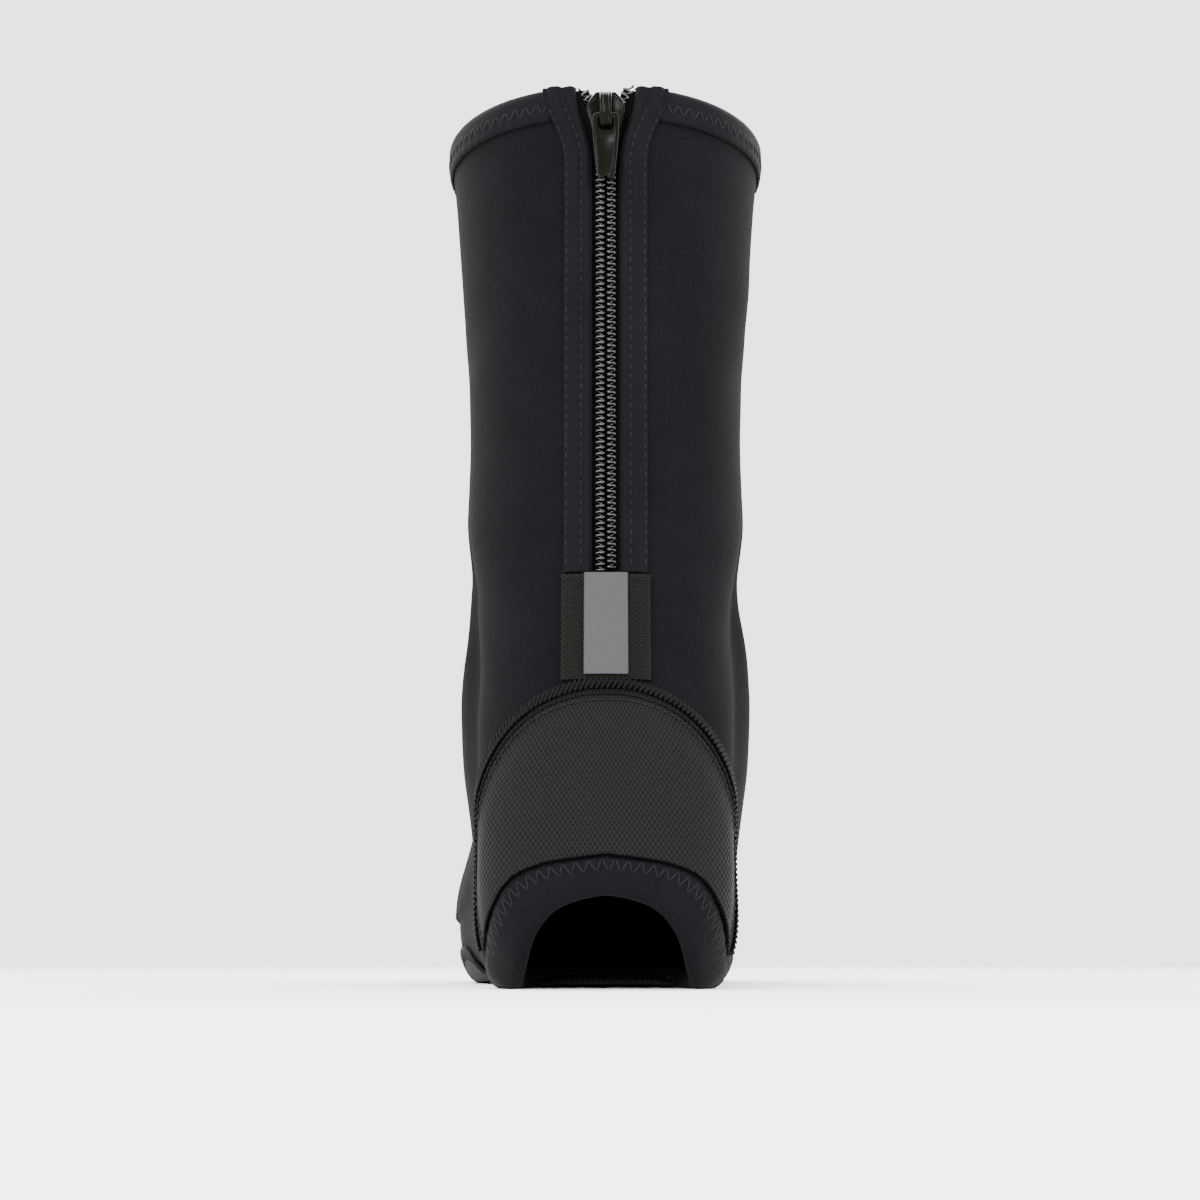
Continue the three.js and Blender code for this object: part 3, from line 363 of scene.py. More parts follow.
# %% Small helpers for nodes
def joined(tree, kind, values=None, **links):
    """Adds a node, sets its plain values and joins its named inputs."""
    node = tree.nodes.new(kind)
    for name, value in (values or {}).items():
        setattr(node, name, value)
    for name, source in links.items():
        numbered = name[0] == "i" and name[1:].isdigit()
        socket = node.inputs[int(name[1:]) if numbered else name.replace("_", " ")]
        if isinstance(source, bpy.types.NodeSocket):
            tree.links.new(source, socket)
        else:
            socket.default_value = source
    return node


def math_node(tree, operation, a, b=0.0, c=0.0):
    """One sum on up to three values or sockets."""
    return joined(tree, "ShaderNodeMath", {"operation": operation}, i0=a, i1=b, i2=c).outputs[0]


def turned_axes(tree, turn):
    """The piece's own UV, turned, as separate axes in metres, and the UV itself."""
    uv = joined(tree, "ShaderNodeTexCoord").outputs["UV"]
    turned = joined(tree, "ShaderNodeVectorRotate", {"rotation_type": "Z_AXIS"}, Vector=uv, Angle=turn)
    return joined(tree, "ShaderNodeSeparateXYZ", i0=turned.outputs[0]).outputs, uv


def new_group(name, takes, gives):
    """An empty node group with named number inputs and outputs."""
    group = bpy.data.node_groups.new(name, "ShaderNodeTree")
    for socket, value in takes:
        made = group.interface.new_socket(name=socket, in_out="INPUT", socket_type="NodeSocketFloat")
        made.default_value = value
    for socket in gives:
        group.interface.new_socket(name=socket, in_out="OUTPUT", socket_type="NodeSocketFloat")
    return group, group.nodes.new("NodeGroupInput").outputs, group.nodes.new("NodeGroupOutput").inputs


# %% A woven effect: threads that cross over and under each other
weave, takes, gives = new_group("woven threads", [("Pitch", 0.001), ("Turn", 0.7854)], ["Height", "Shade"])
axes, coordinate = turned_axes(weave, takes["Turn"])
per_metre = math_node(weave, "DIVIDE", math.pi, takes["Pitch"])
across_wave = math_node(weave, "SINE", math_node(weave, "MULTIPLY", axes[0], per_metre))
along_wave = math_node(weave, "SINE", math_node(weave, "MULTIPLY", axes[1], per_metre))
threads = math_node(weave, "MULTIPLY_ADD", math_node(weave, "MULTIPLY", across_wave, along_wave), 0.5, 0.5)
noise = joined(weave, "ShaderNodeTexNoise", Vector=coordinate, Scale=900.0, Detail=2.0).outputs[0]
weave.links.new(threads, gives["Height"])
weave.links.new(math_node(weave, "MULTIPLY_ADD", noise, 0.35, threads), gives["Shade"])

# %% A ribbed effect: raised lines along the cloth
rib, takes, gives = new_group("ribs", [("Pitch", 0.002), ("Turn", 0.0)], ["Height", "Shade"])
axes, _ = turned_axes(rib, takes["Turn"])
per_metre = math_node(rib, "DIVIDE", 2 * math.pi, takes["Pitch"])
wave = math_node(rib, "SINE", math_node(rib, "MULTIPLY", axes[0], per_metre))
raised = math_node(rib, "POWER", math_node(rib, "MULTIPLY_ADD", wave, 0.5, 0.5), 0.6)
picks = math_node(rib, "MULTIPLY", axes[1], math_node(rib, "MULTIPLY", per_metre, 2.3))
knots = math_node(rib, "MULTIPLY_ADD", math_node(rib, "SINE", picks), 0.10, raised)
rib.links.new(knots, gives["Height"])
rib.links.new(raised, gives["Shade"])

# %% A cloth's nap: soft cloudy tone and short fibres
nap, takes, gives = new_group("nap", [("Cloud size", 0.02), ("Fibre size", 0.0008)], ["Height", "Shade"])
coordinate = joined(nap, "ShaderNodeTexCoord").outputs["Object"]
clouds, fibres = (
    joined(nap, "ShaderNodeTexNoise", Vector=coordinate, Scale=math_node(nap, "DIVIDE", 1.0, takes[size]),
           Detail=3.0, Roughness=rough).outputs[0]
    for size, rough in (("Cloud size", 0.6), ("Fibre size", 0.7)))
mixed = math_node(nap, "MULTIPLY_ADD", fibres, 0.55, math_node(nap, "MULTIPLY", clouds, 0.45))
nap.links.new(fibres, gives["Height"])
nap.links.new(mixed, gives["Shade"])
print("effects:", [group.name for group in bpy.data.node_groups])


# %% One cloth from a pattern, a nap and two tones
def two_tones(tree, shade, dark, light, low):
    """A colour between two tones. Shades from low to 1 - low run from one to the other."""
    ramp = joined(tree, "ShaderNodeValToRGB", Fac=shade)
    for element, place, tone in zip(ramp.color_ramp.elements, (low, 1 - low), (dark, light)):
        element.position, element.color = place, (*tone, 1)
    return ramp.outputs[0]


def cloth_finish(name, dark, light, pattern=None, pitch=0.001, turn=0.0, relief=0.0002, contrast=0.5,
                 nap_relief=0.00015, rough=0.9, sheen=0.02, sheen_tint=(0.6, 0.58, 0.62, 1), fibre=0.0008):
    """A cloth whose colour runs from dark to light. relief is the height of its pattern in metres."""
    made = bpy.data.materials.new(name)
    made.use_nodes = True
    tree = made.node_tree
    shader = tree.nodes["Principled BSDF"]
    shader.inputs["Roughness"].default_value = rough
    shader.inputs["Specular IOR Level"].default_value = 0.05
    shader.inputs["Sheen Weight"].default_value = sheen
    shader.inputs["Sheen Roughness"].default_value = 0.45
    shader.inputs["Sheen Tint"].default_value = sheen_tint
    napped = joined(tree, "ShaderNodeGroup", {"node_tree": nap}, Cloud_size=0.018, Fibre_size=fibre).outputs
    shade = napped["Shade"]
    bump = joined(tree, "ShaderNodeBump", Height=napped["Height"], Distance=nap_relief, Strength=0.8)
    if pattern:
        woven = joined(tree, "ShaderNodeGroup", {"node_tree": pattern}, Pitch=pitch, Turn=turn).outputs
        plain_share = math_node(tree, "MULTIPLY", shade, 1 - contrast)
        shade = math_node(tree, "MULTIPLY_ADD", woven["Shade"], contrast, plain_share)
        bump = joined(tree, "ShaderNodeBump", Height=woven["Height"], Distance=relief, Strength=0.9,
                      Normal=bump.outputs[0])
    tree.links.new(two_tones(tree, shade, dark, light, 0.25), shader.inputs["Base Color"])
    tree.links.new(bump.outputs[0], shader.inputs["Normal"])
    return made


# %% One hard finish, for plastic and plated metal
def hard_finish(name, dark, light, rough, gloss, edge_gloss, relief=0.00003, grain=0.004):
    """Dark plastic or enamel with a slightly uneven gloss, brighter where it turns away."""
    made = bpy.data.materials.new(name)
    made.use_nodes = True
    tree = made.node_tree
    shader = tree.nodes["Principled BSDF"]
    facing = joined(tree, "ShaderNodeLayerWeight", Blend=0.5).outputs["Facing"]
    rubbed = math_node(tree, "MULTIPLY_ADD", facing, 2.4, -0.6)
    rubbed.node.use_clamp = True
    shine = math_node(tree, "MULTIPLY_ADD", rubbed, edge_gloss, gloss)
    tree.links.new(shine, shader.inputs["Specular IOR Level"])
    napped = joined(tree, "ShaderNodeGroup", {"node_tree": nap},
                    Cloud_size=grain, Fibre_size=grain / 6).outputs
    roughness = math_node(tree, "MULTIPLY_ADD", napped["Shade"], 0.2, rough - 0.1)
    bump = joined(tree, "ShaderNodeBump", Height=napped["Height"], Distance=relief, Strength=0.5)
    tree.links.new(two_tones(tree, napped["Shade"], dark, light, 0.3), shader.inputs["Base Color"])
    tree.links.new(roughness, shader.inputs["Roughness"])
    tree.links.new(bump.outputs[0], shader.inputs["Normal"])
    return made


# %% The finishes of this shoe
neoprene = cloth_finish(
    "neoprene jersey", (0.0008, 0.0006, 0.0010), (0.0042, 0.0034, 0.0046), weave, pitch=0.0006,
    turn=0.5, relief=0.00005, contrast=0.16, nap_relief=0.00022, sheen=0.007)
lining = cloth_finish(
    "mottled jersey lining", (0.0009, 0.0007, 0.0010), (0.0058, 0.0048, 0.0062), weave, pitch=0.0007,
    turn=0.5, relief=0.00008, contrast=0.25, sheen=0.006, fibre=0.0016)
binding_cloth = cloth_finish(
    "smooth binding", (0.0007, 0.0007, 0.0012), (0.0028, 0.0027, 0.0040), weave, pitch=0.0006,
    relief=0.00005, contrast=0.2, sheen=0.010, rough=0.7)
patch_weave = cloth_finish(
    "charcoal patch weave", (0.0004, 0.0004, 0.0004), (0.0062, 0.0061, 0.0060), weave, pitch=0.0010,
    relief=0.0003, contrast=0.75, sheen=0.006, rough=0.6)
strip_weave = cloth_finish(
    "grey strip weave", (0.0016, 0.0016, 0.0015), (0.0100, 0.0098, 0.0093), weave, pitch=0.0008,
    relief=0.0002, contrast=0.6, sheen=0.01, rough=0.75)
elastic = cloth_finish(
    "ribbed elastic", (0.0010, 0.0008, 0.0006), (0.0090, 0.0078, 0.0066), weave, pitch=0.0007,
    relief=0.0001, contrast=0.4, sheen=0.008)
webbing_cloth = cloth_finish(
    "ribbed webbing", (0.0002, 0.0002, 0.0001), (0.0072, 0.0066, 0.0056), weave, pitch=0.0008,
    relief=0.0005, contrast=0.8, sheen=0.004, rough=0.42)
reflector = cloth_finish(
    "grey reflective strip", (0.036, 0.036, 0.0385), (0.041, 0.041, 0.0435), weave, pitch=0.0005,
    relief=0.00003, contrast=0.15, sheen=0.0, rough=0.55)
tape_cloth = cloth_finish(
    "zip tape weave", (0.0003, 0.0003, 0.0003), (0.0036, 0.0033, 0.0032), rib, pitch=0.0011,
    turn=0.5, relief=0.0002, contrast=0.7, sheen=0.004)
thread = cloth_finish(
    "sewing thread", (0.0045, 0.0043, 0.0050), (0.0130, 0.0123, 0.0140), rough=0.45, sheen=0.02)
overlock_thread = cloth_finish(
    "overlock thread", (0.0004, 0.0004, 0.0005), (0.0052, 0.0050, 0.0050), rough=0.6, sheen=0.01)
coil_plastic = hard_finish("zip coil plastic", (0.0008, 0.0007, 0.0006), (0.0030, 0.0027, 0.0023),
                           rough=0.20, gloss=0.55, edge_gloss=0.2)
bronze = hard_finish("dark bronze enamel", (0.0009, 0.0007, 0.0003), (0.0024, 0.0019, 0.0008),
                     rough=0.24, gloss=0.05, edge_gloss=1.6)
print("finishes:", [material.name for material in bpy.data.materials])

# %% [markdown]
# ## Sheets of cloth
# Every cloth piece starts as a grid primitive. Its points are put on the form in rows and columns,
# and a Solidify modifier gives it the real cloth's thickness. Its UV map is in metres along the
# cloth, so that a weave keeps its true size wherever the piece bends.

# %% A grid primitive laid out as cloth
def only(obj):
    """Selects one object alone, because an operator acts on all that is selected."""
    bpy.ops.object.select_all(action="DESELECT")
    obj.select_set(True)
    bpy.context.view_layer.objects.active = obj


def run_along(points):
    """How far along a line of points each of them lies."""
    return np.concatenate([[0], np.cumsum(np.linalg.norm(np.diff(points, axis=0), axis=1))])


def faces_in(points, normals):
    """Whether a grid's own faces look the other way from the normals given for it."""
    across = points[1:, 1:] - points[1:, :-1]
    along_ = points[1:, 1:] - points[:-1, 1:]
    return (np.cross(across, along_) * normals[1:, 1:]).sum() < 0


def edit_all(obj, operator, **values):
    """Runs one edit mode operator on the whole of a mesh."""
    only(obj)
    bpy.ops.object.mode_set(mode="EDIT")
    bpy.ops.mesh.select_all(action="SELECT")
    operator(**values)
    bpy.ops.object.mode_set(mode="OBJECT")


def apply_modifier(obj, kind, **values):
    """Adds one modifier, sets it and applies it."""
    only(obj)
    bpy.ops.object.modifier_add(type=kind)
    modifier = obj.modifiers[-1]
    for name, value in values.items():
        setattr(modifier, name, value)
    bpy.ops.object.modifier_apply(modifier=modifier.name)


def sheet_of_cloth(name, points, uv, normals, finishes, cloth=0.0, closed=False, even=False):
    """A grid whose point in row r and column c goes to points[r, c], facing the way of normals."""
    rows, columns = points.shape[0] - 1, points.shape[1] - 1
    bpy.ops.object.select_all(action="DESELECT")
    bpy.ops.mesh.primitive_grid_add(x_subdivisions=columns, y_subdivisions=rows, size=1)
    obj = bpy.context.object
    obj.name = obj.data.name = name
    mesh = obj.data
    co = np.empty(len(mesh.vertices) * 3)
    mesh.vertices.foreach_get("co", co)
    co = co.reshape(-1, 3)
    c = np.rint((co[:, 0] + 0.5) * columns).astype(int)
    r = np.rint((co[:, 1] + 0.5) * rows).astype(int)
    mesh.vertices.foreach_set("co", (points[r, c] + SHIFT).ravel())
    loops = np.empty(len(mesh.loops), dtype=int)
    mesh.loops.foreach_get("vertex_index", loops)
    mesh.uv_layers[0].name = "UVMap"
    mesh.uv_layers[0].data.foreach_set("uv", uv[r, c][loops].ravel())
    if faces_in(points, normals):
        mesh.flip_normals()
    for finish in finishes:
        mesh.materials.append(finish)
    if closed:
        edit_all(obj, bpy.ops.mesh.remove_doubles, threshold=2e-6)
    if cloth:
        apply_modifier(obj, "SOLIDIFY", thickness=cloth, offset=-1, use_even_offset=even,
                       material_offset=len(finishes) - 1, material_offset_rim=0)
    only(obj)
    bpy.ops.object.shade_smooth()
    return obj


# %% [markdown]
# ## Soft creases
# Neoprene this thick doesn't wrinkle sharply. It ripples in long soft troughs where it bends over
# the ankle and where a binding pulls at it. Each is listed here, and every piece that lies on the
# shell takes the same ones, so nothing parts from what it is sewn to.

# %% Troughs and ridges, in the shoe's own sizes
# Each row: the middle, across, forward and up, as shares of the sizes named with it. Then, in
# millimetres, half its length along its line, half its width and its depth, and last the direction
# of its line. A negative depth is a trough.
FOOT = (BALL_WIDTH, FOOT_LENGTH, ANKLE_BEND_HEIGHT)
HEEL = (HEEL_WIDTH, FOOT_LENGTH, ANKLE_BEND_HEIGHT)
SHAFT = (COLLAR_WIDTH, COLLAR_DEPTH, SHAFT_HEIGHT)
CREASES = (
    # the bend in front of the ankle
    (FOOT, (0.00, 0.37, 0.93), 46, 5, -1.5, (1, 0, 0.04)),
    (FOOT, (0.00, 0.40, 0.84), 42, 5, 0.9, (1, 0, -0.05)),
    (FOOT, (0.00, 0.43, 0.76), 38, 6, -1.1, (1, 0, 0.06)),
    (FOOT, (0.00, 0.36, 1.06), 40, 7, 0.8, (1, 0, 0.02)),
    # from the heel up round the ankle, on each side
    (HEEL, (-0.50, 0.17, 0.80), 34, 8, -1.2, (0, 0.8, 0.6)),
    (HEEL, (0.50, 0.16, 0.86), 36, 9, -1.1, (0, 0.8, 0.6)),
    (HEEL, (0.48, 0.10, 0.40), 30, 7, -0.8, (0, 0.3, 0.95)),
    (HEEL, (-0.48, 0.11, 0.46), 32, 7, -0.9, (0, 0.35, 0.93)),
    # slack ripples up the shaft
    (SHAFT, (0.46, 0.30, 0.80), 26, 9, 0.7, (0, 1, 0.3)),
    (SHAFT, (0.44, 0.35, 0.69), 30, 8, -0.8, (0, 1, 0.4)),
    (SHAFT, (-0.46, 0.35, 0.74), 34, 9, -0.7, (0, 1, -0.3)),
    (SHAFT, (-0.30, 0.10, 0.62), 40, 7, -0.6, (0.25, 0, 1)),
    (SHAFT, (0.31, 0.12, 0.58), 42, 7, -0.6, (-0.2, 0, 1)),
    # the top of the foot and the toes
    (FOOT, (-0.20, 0.66, 0.50), 36, 9, -0.9, (0.5, 0.85, 0)),
    (FOOT, (0.24, 0.70, 0.46), 34, 9, -0.8, (-0.4, 0.9, 0)),
    (FOOT, (0.00, 0.60, 0.58), 32, 10, 0.7, (1, 0.2, 0)),
)


def creases(p):
    """How far the cloth stands out, or in, at points of the form."""
    total = np.zeros(len(p))
    for sizes, shares, half_length, half_width, depth, line in CREASES:
        line = np.array(line, dtype=float)
        line /= np.linalg.norm(line)
        away = p - np.array(sizes) * np.array(shares)
        along = away @ line
        aside = np.linalg.norm(away - along[:, None] * line, axis=1)
        fade = (along / (half_length * MM)) ** 2 + (aside / (half_width * MM)) ** 2
        total += depth * MM * np.exp(-fade)
    above_sole = ease((p[:, 2] - 6 * MM) / (22 * MM))
    return total * above_sole


def drape(points, normals, depth):
    """Points of the form moved to a depth, with the creases added."""
    shape = points.shape
    p, n = points.reshape(-1, 3), normals.reshape(-1, 3)
    out = creases(p) + np.broadcast_to(depth, shape[:-1]).ravel()
    return (p + n * out[:, None]).reshape(shape)


print("creases:", len(CREASES))

# %% [markdown]
# ## The upper
# The upper is one skin of 3 mm neoprene. It could be carved from a solid foot. Here it is a single
# sheet of rings from the toe to the collar, each ring starting and ending at the edge of whatever
# opening it meets, and then given its wall. That keeps the wall even, and leaves real edges for the
# bindings to wrap.

# %% Where the rings of the upper begin and end
TOE_CAP_STEPS = 6


def form_row(run, turns):
    """A ring's points and smooth outward normals. Runs below 0 close the toe with a low dome."""
    step = 0.4 * MM
    if run < 0:
        size = 1 + run
        middle = ring_points(0.0, np.array([0.0, 0.5])).mean(axis=0)
        points = middle + (ring_points(0.0, turns) - middle) * size
        points[:, 1] += 0.0035 * FOOT_LENGTH * (1 - size * size)
        _, rim = form_row(0.0, turns)
        normals = rim * size + np.array([0, 1, 0]) * (1 - size)
    else:
        points = ring_points(run, turns)
        low, high = max(run - step, 0), min(run + step, ring_runs[-1])
        ahead = ring_points(high, turns) - ring_points(low, turns)
        beside = ring_points(run, turns + 0.002) - ring_points(run, turns - 0.002)
        normals = np.cross(beside, ahead)
    return points, normals / np.maximum(np.linalg.norm(normals, axis=1, keepdims=True), 1e-12)


def edge_turn(run, sign):
    """The turn, from the middle of the sole or back, at which the shell begins on one side."""
    turns = np.linspace(0, 0.4, 1601)
    open_ = in_an_opening(ring_points(run, turns * sign))
    return 0.0 if not open_[:40].any() else turns[np.nonzero(open_)[0][-1]] + 0.0001


# %% Lay the upper's sheet
UPPER_ROWS, UPPER_COLUMNS, SOLE_COLUMNS, SIDE_TURN = 235, 172, 34, 0.25
EDGE_CROWD, EDGE_SPREAD = 0.006, 0.08


def side_turns(start):
    """Columns from one edge of the shell up its side. They stay in line, and crowd at the edge."""
    level = np.linspace(0, SIDE_TURN, SOLE_COLUMNS + 1)
    crowd = min(EDGE_CROWD, start)
    kept = (level - start + np.hypot(level - start, crowd)) / 2
    kept = (kept - kept[0]) / (kept[-1] - kept[0])
    return start + (SIDE_TURN - start) * ((1 - EDGE_SPREAD) * kept + EDGE_SPREAD * level / SIDE_TURN)


def turns_between(start, end):
    """Columns of one row of the shell, between its two edges."""
    over_the_top = np.linspace(SIDE_TURN, 1 - SIDE_TURN, UPPER_COLUMNS - 2 * SOLE_COLUMNS + 1)
    return np.concatenate([side_turns(start)[:-1], over_the_top[:-1], 1 - side_turns(1 - end)[::-1]])


toe_cap_runs = np.linspace(-1, 0, TOE_CAP_STEPS + 1)[:-1]
upper_runs = np.concatenate([toe_cap_runs, np.linspace(0, COLLAR_RUN, UPPER_ROWS)])
upper_points = np.empty((len(upper_runs), UPPER_COLUMNS + 1, 3))
upper_normals, upper_uv = np.empty_like(upper_points), np.empty_like(upper_points[..., :2])
for i, run in enumerate(upper_runs):
    start, end = (0.0, 1.0) if run < 0 else (edge_turn(run, 1), 1 - edge_turn(run, -1))
    turns = turns_between(start, end)
    points, normals = form_row(run, turns)
    lengths = run_along(points)
    upper_points[i], upper_normals[i] = points, normals
    upper_uv[i, :, 0] = lengths - np.interp(0.5, turns, lengths)
    upper_uv[i, :, 1] = run if run > 0 else run * 0.01
upper = sheet_of_cloth("upper_shell", drape(upper_points, upper_normals, 0.0), upper_uv, upper_normals,
                       (neoprene, lining), cloth=WALL, closed=True, even=True)
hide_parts("upper")
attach(upper, "shoe")
print("upper:", len(upper.data.polygons), "faces")

# %% [markdown]
# ## The bindings
# A binding is a strip of thin smooth cloth folded over a raw edge like a hairpin and sewn through.
# It could be a swept tube, but a tube would hide its two flat laps. So it is swept as a U: out along
# the lap, round the edge, and back along the inside. Its own edge ripples between the stitches, and
# where its two ends meet, one lies over the other along a slanting line.

# %% The hairpin profile of a binding
RIPPLE, ZIGZAG_PITCH, COLLAR_ZIGZAG_PITCH, OFF_FLOOR = 0.10 * MM, 3.4 * MM, 3.8 * MM, 0.06 * MM


def hairpin(lap, steps=7):
    """Margins and depths from the outer lap, round the raw edge at margin 0, to the inner lap."""
    out = GAP + BINDING_CLOTH
    nose, middle = 3.0 * MM, 3.0 * MM - BINDING_FOLD
    bend = np.linspace(0, math.pi, 13)[1:-1]
    flat = np.linspace(lap, middle, steps)
    margins = np.concatenate([[lap, lap - 0.15 * MM], flat[1:], middle - nose * np.sin(bend), flat[::-1]])
    fold = -WALL / 2 + (WALL / 2 + out) * np.cos(bend)
    depths = np.concatenate([[GAP, out - 0.2 * MM], np.full(steps - 1, out), fold,
                             np.full(steps, -WALL - out)])
    return margins, depths


def girth_of(margins, depths):
    """How far round its own section each point of a hairpin lies."""
    return run_along(np.stack([margins, depths], axis=1))


def waves(s, rows):
    """Puckers along an edge: place, half width and height, all in metres."""
    return sum(height * np.exp(-((s - place) / width) ** 2) for place, width, height in rows)


def overlap_step(s, margin, lap, place, slant, height=0.55 * MM, tail=16 * MM):
    """The end of a strip lying over its start: a slanting step that dies away along the strip."""
    past = s - place - slant * (margin / lap - 0.5)
    return np.where(past > 0, height * np.clip(past / (0.35 * MM), 0, 1) * np.exp(-past / tail), 0.0)


def swept_binding(name, outline, ts, length, lap, puckers, join_at, replaced):
    """Sweeps a hairpin round a closed outline. join_at is the place and slant of its overlap."""
    margins, depths = hairpin(lap)
    s = np.append(np.arange(len(ts)) / len(ts) * length, length)
    looped = np.append(ts, ts[0])
    laid = [lay(*outline(looped, max(margin, -BINDING_FOLD))) for margin in margins]
    points, normals = np.array([p for p, _ in laid]), np.array([n for _, n in laid])
    outer = depths > -WALL / 2
    lapped = np.clip(margins / lap, 0, 1)[:, None]
    lift = waves(s, puckers)[None] * lapped ** 1.5
    lift = lift + RIPPLE * np.cos(2 * math.pi * s / ZIGZAG_PITCH)[None] * lapped ** 3
    lift = lift + overlap_step(s[None], margins[:, None], lap, *join_at)
    total = depths[:, None] + np.where(outer[:, None], lift, 0)
    draped = drape(points, normals, total)
    draped[..., 2] = np.maximum(draped[..., 2], OFF_FLOOR - SHIFT[2])
    draped[:, -1] = draped[:, 0]
    uv = np.stack(np.broadcast_arrays(s[None], girth_of(margins, depths)[:, None]), axis=2)
    out_of_strip = np.where(outer[:, None, None], normals, -normals)
    made = sheet_of_cloth(name, draped, uv, out_of_strip, (binding_cloth,), BINDING_CLOTH * 0.8, closed=True)
    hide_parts(replaced)
    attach(made, "shoe")
    print(name, "is", round(length, 3), "m round and has", len(made.data.polygons), "faces")


# %% Bind the two openings of the sole
HEEL_PUCKERS = ((6 * MM, 3 * MM, 0.5 * MM), (14 * MM, 2.5 * MM, -0.4 * MM), (21 * MM, 3 * MM, 0.6 * MM),
                (29 * MM, 3 * MM, -0.5 * MM), (64 * MM, 4 * MM, 0.35 * MM), (118 * MM, 5 * MM, 0.3 * MM))
HEEL_RUN = (heel_outline, t_heel, heel_round, HEEL_LAP, HEEL_PUCKERS, (50 * MM, 9 * MM))
swept_binding("heel_binding_strip", *HEEL_RUN, "heel_opening_binding")
FOREFOOT_PUCKERS = ((24 * MM, 5 * MM, 0.3 * MM), (52 * MM, 6 * MM, 0.4 * MM), (110 * MM, 8 * MM, 0.25 * MM),
                    (330 * MM, 6 * MM, 0.35 * MM))
FOREFOOT_RUN = (forefoot_outline, t_forefoot, forefoot_round, FOREFOOT_LAP, FOREFOOT_PUCKERS,
                (3 * MM, -14 * MM))
swept_binding("forefoot_binding_strip", *FOREFOOT_RUN, "forefoot_opening_binding")

# %% Bind the collar, between the two facings
COLLAR_MIDDLE_Y = 0.534 * COLLAR_DEPTH


def round_the_shaft(angle, z):
    """A ray out of the shaft at a height. Angle 0 looks back, and grows by the inner side."""
    starts = np.stack(np.broadcast_arrays(np.zeros_like(angle), COLLAR_MIDDLE_Y, z), axis=-1).astype(float)
    directions = np.stack(np.broadcast_arrays(np.sin(angle), -np.cos(angle), np.zeros_like(z)), axis=-1)
    return starts, directions.astype(float)


BINDING_END = math.asin((ZIP_MOUTH / 2 + FACING_WIDTH - 1.2 * MM) / (COLLAR_DEPTH / 2))
angles = np.linspace(BINDING_END, 2 * math.pi - BINDING_END, 250)
margins, depths = hairpin(COLLAR_LAP)
grid_angle, grid_z = np.meshgrid(angles, SHAFT_HEIGHT - margins)
collar_form, collar_out = lay(*round_the_shaft(grid_angle, grid_z))
collar_s = run_along(collar_form[0])
outer = (depths > -WALL / 2)[:, None]
lapped = np.clip(margins / COLLAR_LAP, 0, 1)[:, None]
ripple = 0.12 * MM * np.cos(2 * math.pi * collar_s / COLLAR_ZIGZAG_PITCH)[None] * lapped ** 2
collar_points = drape(collar_form, collar_out, depths[:, None] + np.where(outer, ripple, 0))
collar_uv = np.stack(np.broadcast_arrays(collar_s[None], girth_of(margins, depths)[:, None]), axis=2)
collar_normals = np.where(outer[..., None], collar_out, -collar_out)
collar_binding = sheet_of_cloth("collar_binding_strip", collar_points, collar_uv, collar_normals,
                                (binding_cloth,), BINDING_CLOTH * 0.8)
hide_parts("collar_binding")
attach(collar_binding, "shoe")
print("collar binding:", round(collar_s[-1], 3), "m long")

# %% [markdown]
# ## Stitches
# A stitch is a short length of thread that dips into the cloth at both ends. One is modelled, with
# few faces because there are hundreds, and every row of stitches is made of copies of it laid from
# needle hole to needle hole.

# %% Model one stitch and copy it along a row
bpy.ops.object.select_all(action="DESELECT")
bpy.ops.mesh.primitive_uv_sphere_add(segments=6, ring_count=6, radius=0.5, rotation=(0, math.pi / 2, 0))
stitch = bpy.context.object
stitch.name = "one_stitch"
bpy.ops.object.transform_apply(rotation=True)
stitch_co = np.array([v.co[:] for v in stitch.data.vertices])
stitch_co[:, 0] = np.sign(stitch_co[:, 0]) * np.abs(2 * stitch_co[:, 0]) ** 0.6 / 2
stitch_faces = [list(p.vertices) for p in stitch.data.polygons]
bpy.data.objects.remove(stitch)


def sew(name, starts, ends, ups, width, dip, finish):
    """Copies of the one stitch, each stretched from a start to an end, in one mesh."""
    along_ = ends - starts
    length = np.linalg.norm(along_, axis=1, keepdims=True)
    along_ = along_ / length
    side = np.cross(ups, along_)
    side /= np.linalg.norm(side, axis=1, keepdims=True)
    up = np.cross(along_, side)
    x, y, z = stitch_co.T
    middle = (starts + ends) / 2 + SHIFT
    co = (middle[:, None] + along_[:, None] * (x[None, :, None] * length[:, None])
          + side[:, None] * (y[None, :, None] * width)
          + up[:, None] * ((z * width - (2 * x) ** 2 * dip)[None, :, None]))
    mesh = bpy.data.meshes.new(name)
    firsts = range(0, len(starts) * len(stitch_co), len(stitch_co))
    copied = [[first + point for point in face] for first in firsts for face in stitch_faces]
    mesh.from_pydata(co.reshape(-1, 3).tolist(), [], copied)
    mesh.uv_layers.new(name="UVMap")
    mesh.materials.append(finish)
    obj = bpy.data.objects.new(name, mesh)
    bpy.context.scene.collection.objects.link(obj)
    edit_all(obj, bpy.ops.mesh.normals_make_consistent)
    only(obj)
    bpy.ops.object.shade_smooth()
    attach(obj, "shoe")
    print(name, "has", len(starts), "copies and", len(mesh.polygons), "faces")


def at_s(s, values, lengths):
    """Values along a line, at lengths s."""
    return np.stack([np.interp(s, lengths, values[:, k]) for k in range(3)], axis=1)


def straight_row(points, normals, pitch, share=0.72):
    """Starts, ends and normals of stitches every pitch along a line of points."""
    lengths = run_along(points)
    at = np.arange(0.3 * pitch, lengths[-1] - pitch, pitch)
    return at_s(at, points, lengths), at_s(at + pitch * share, points, lengths), at_s(at, normals, lengths)


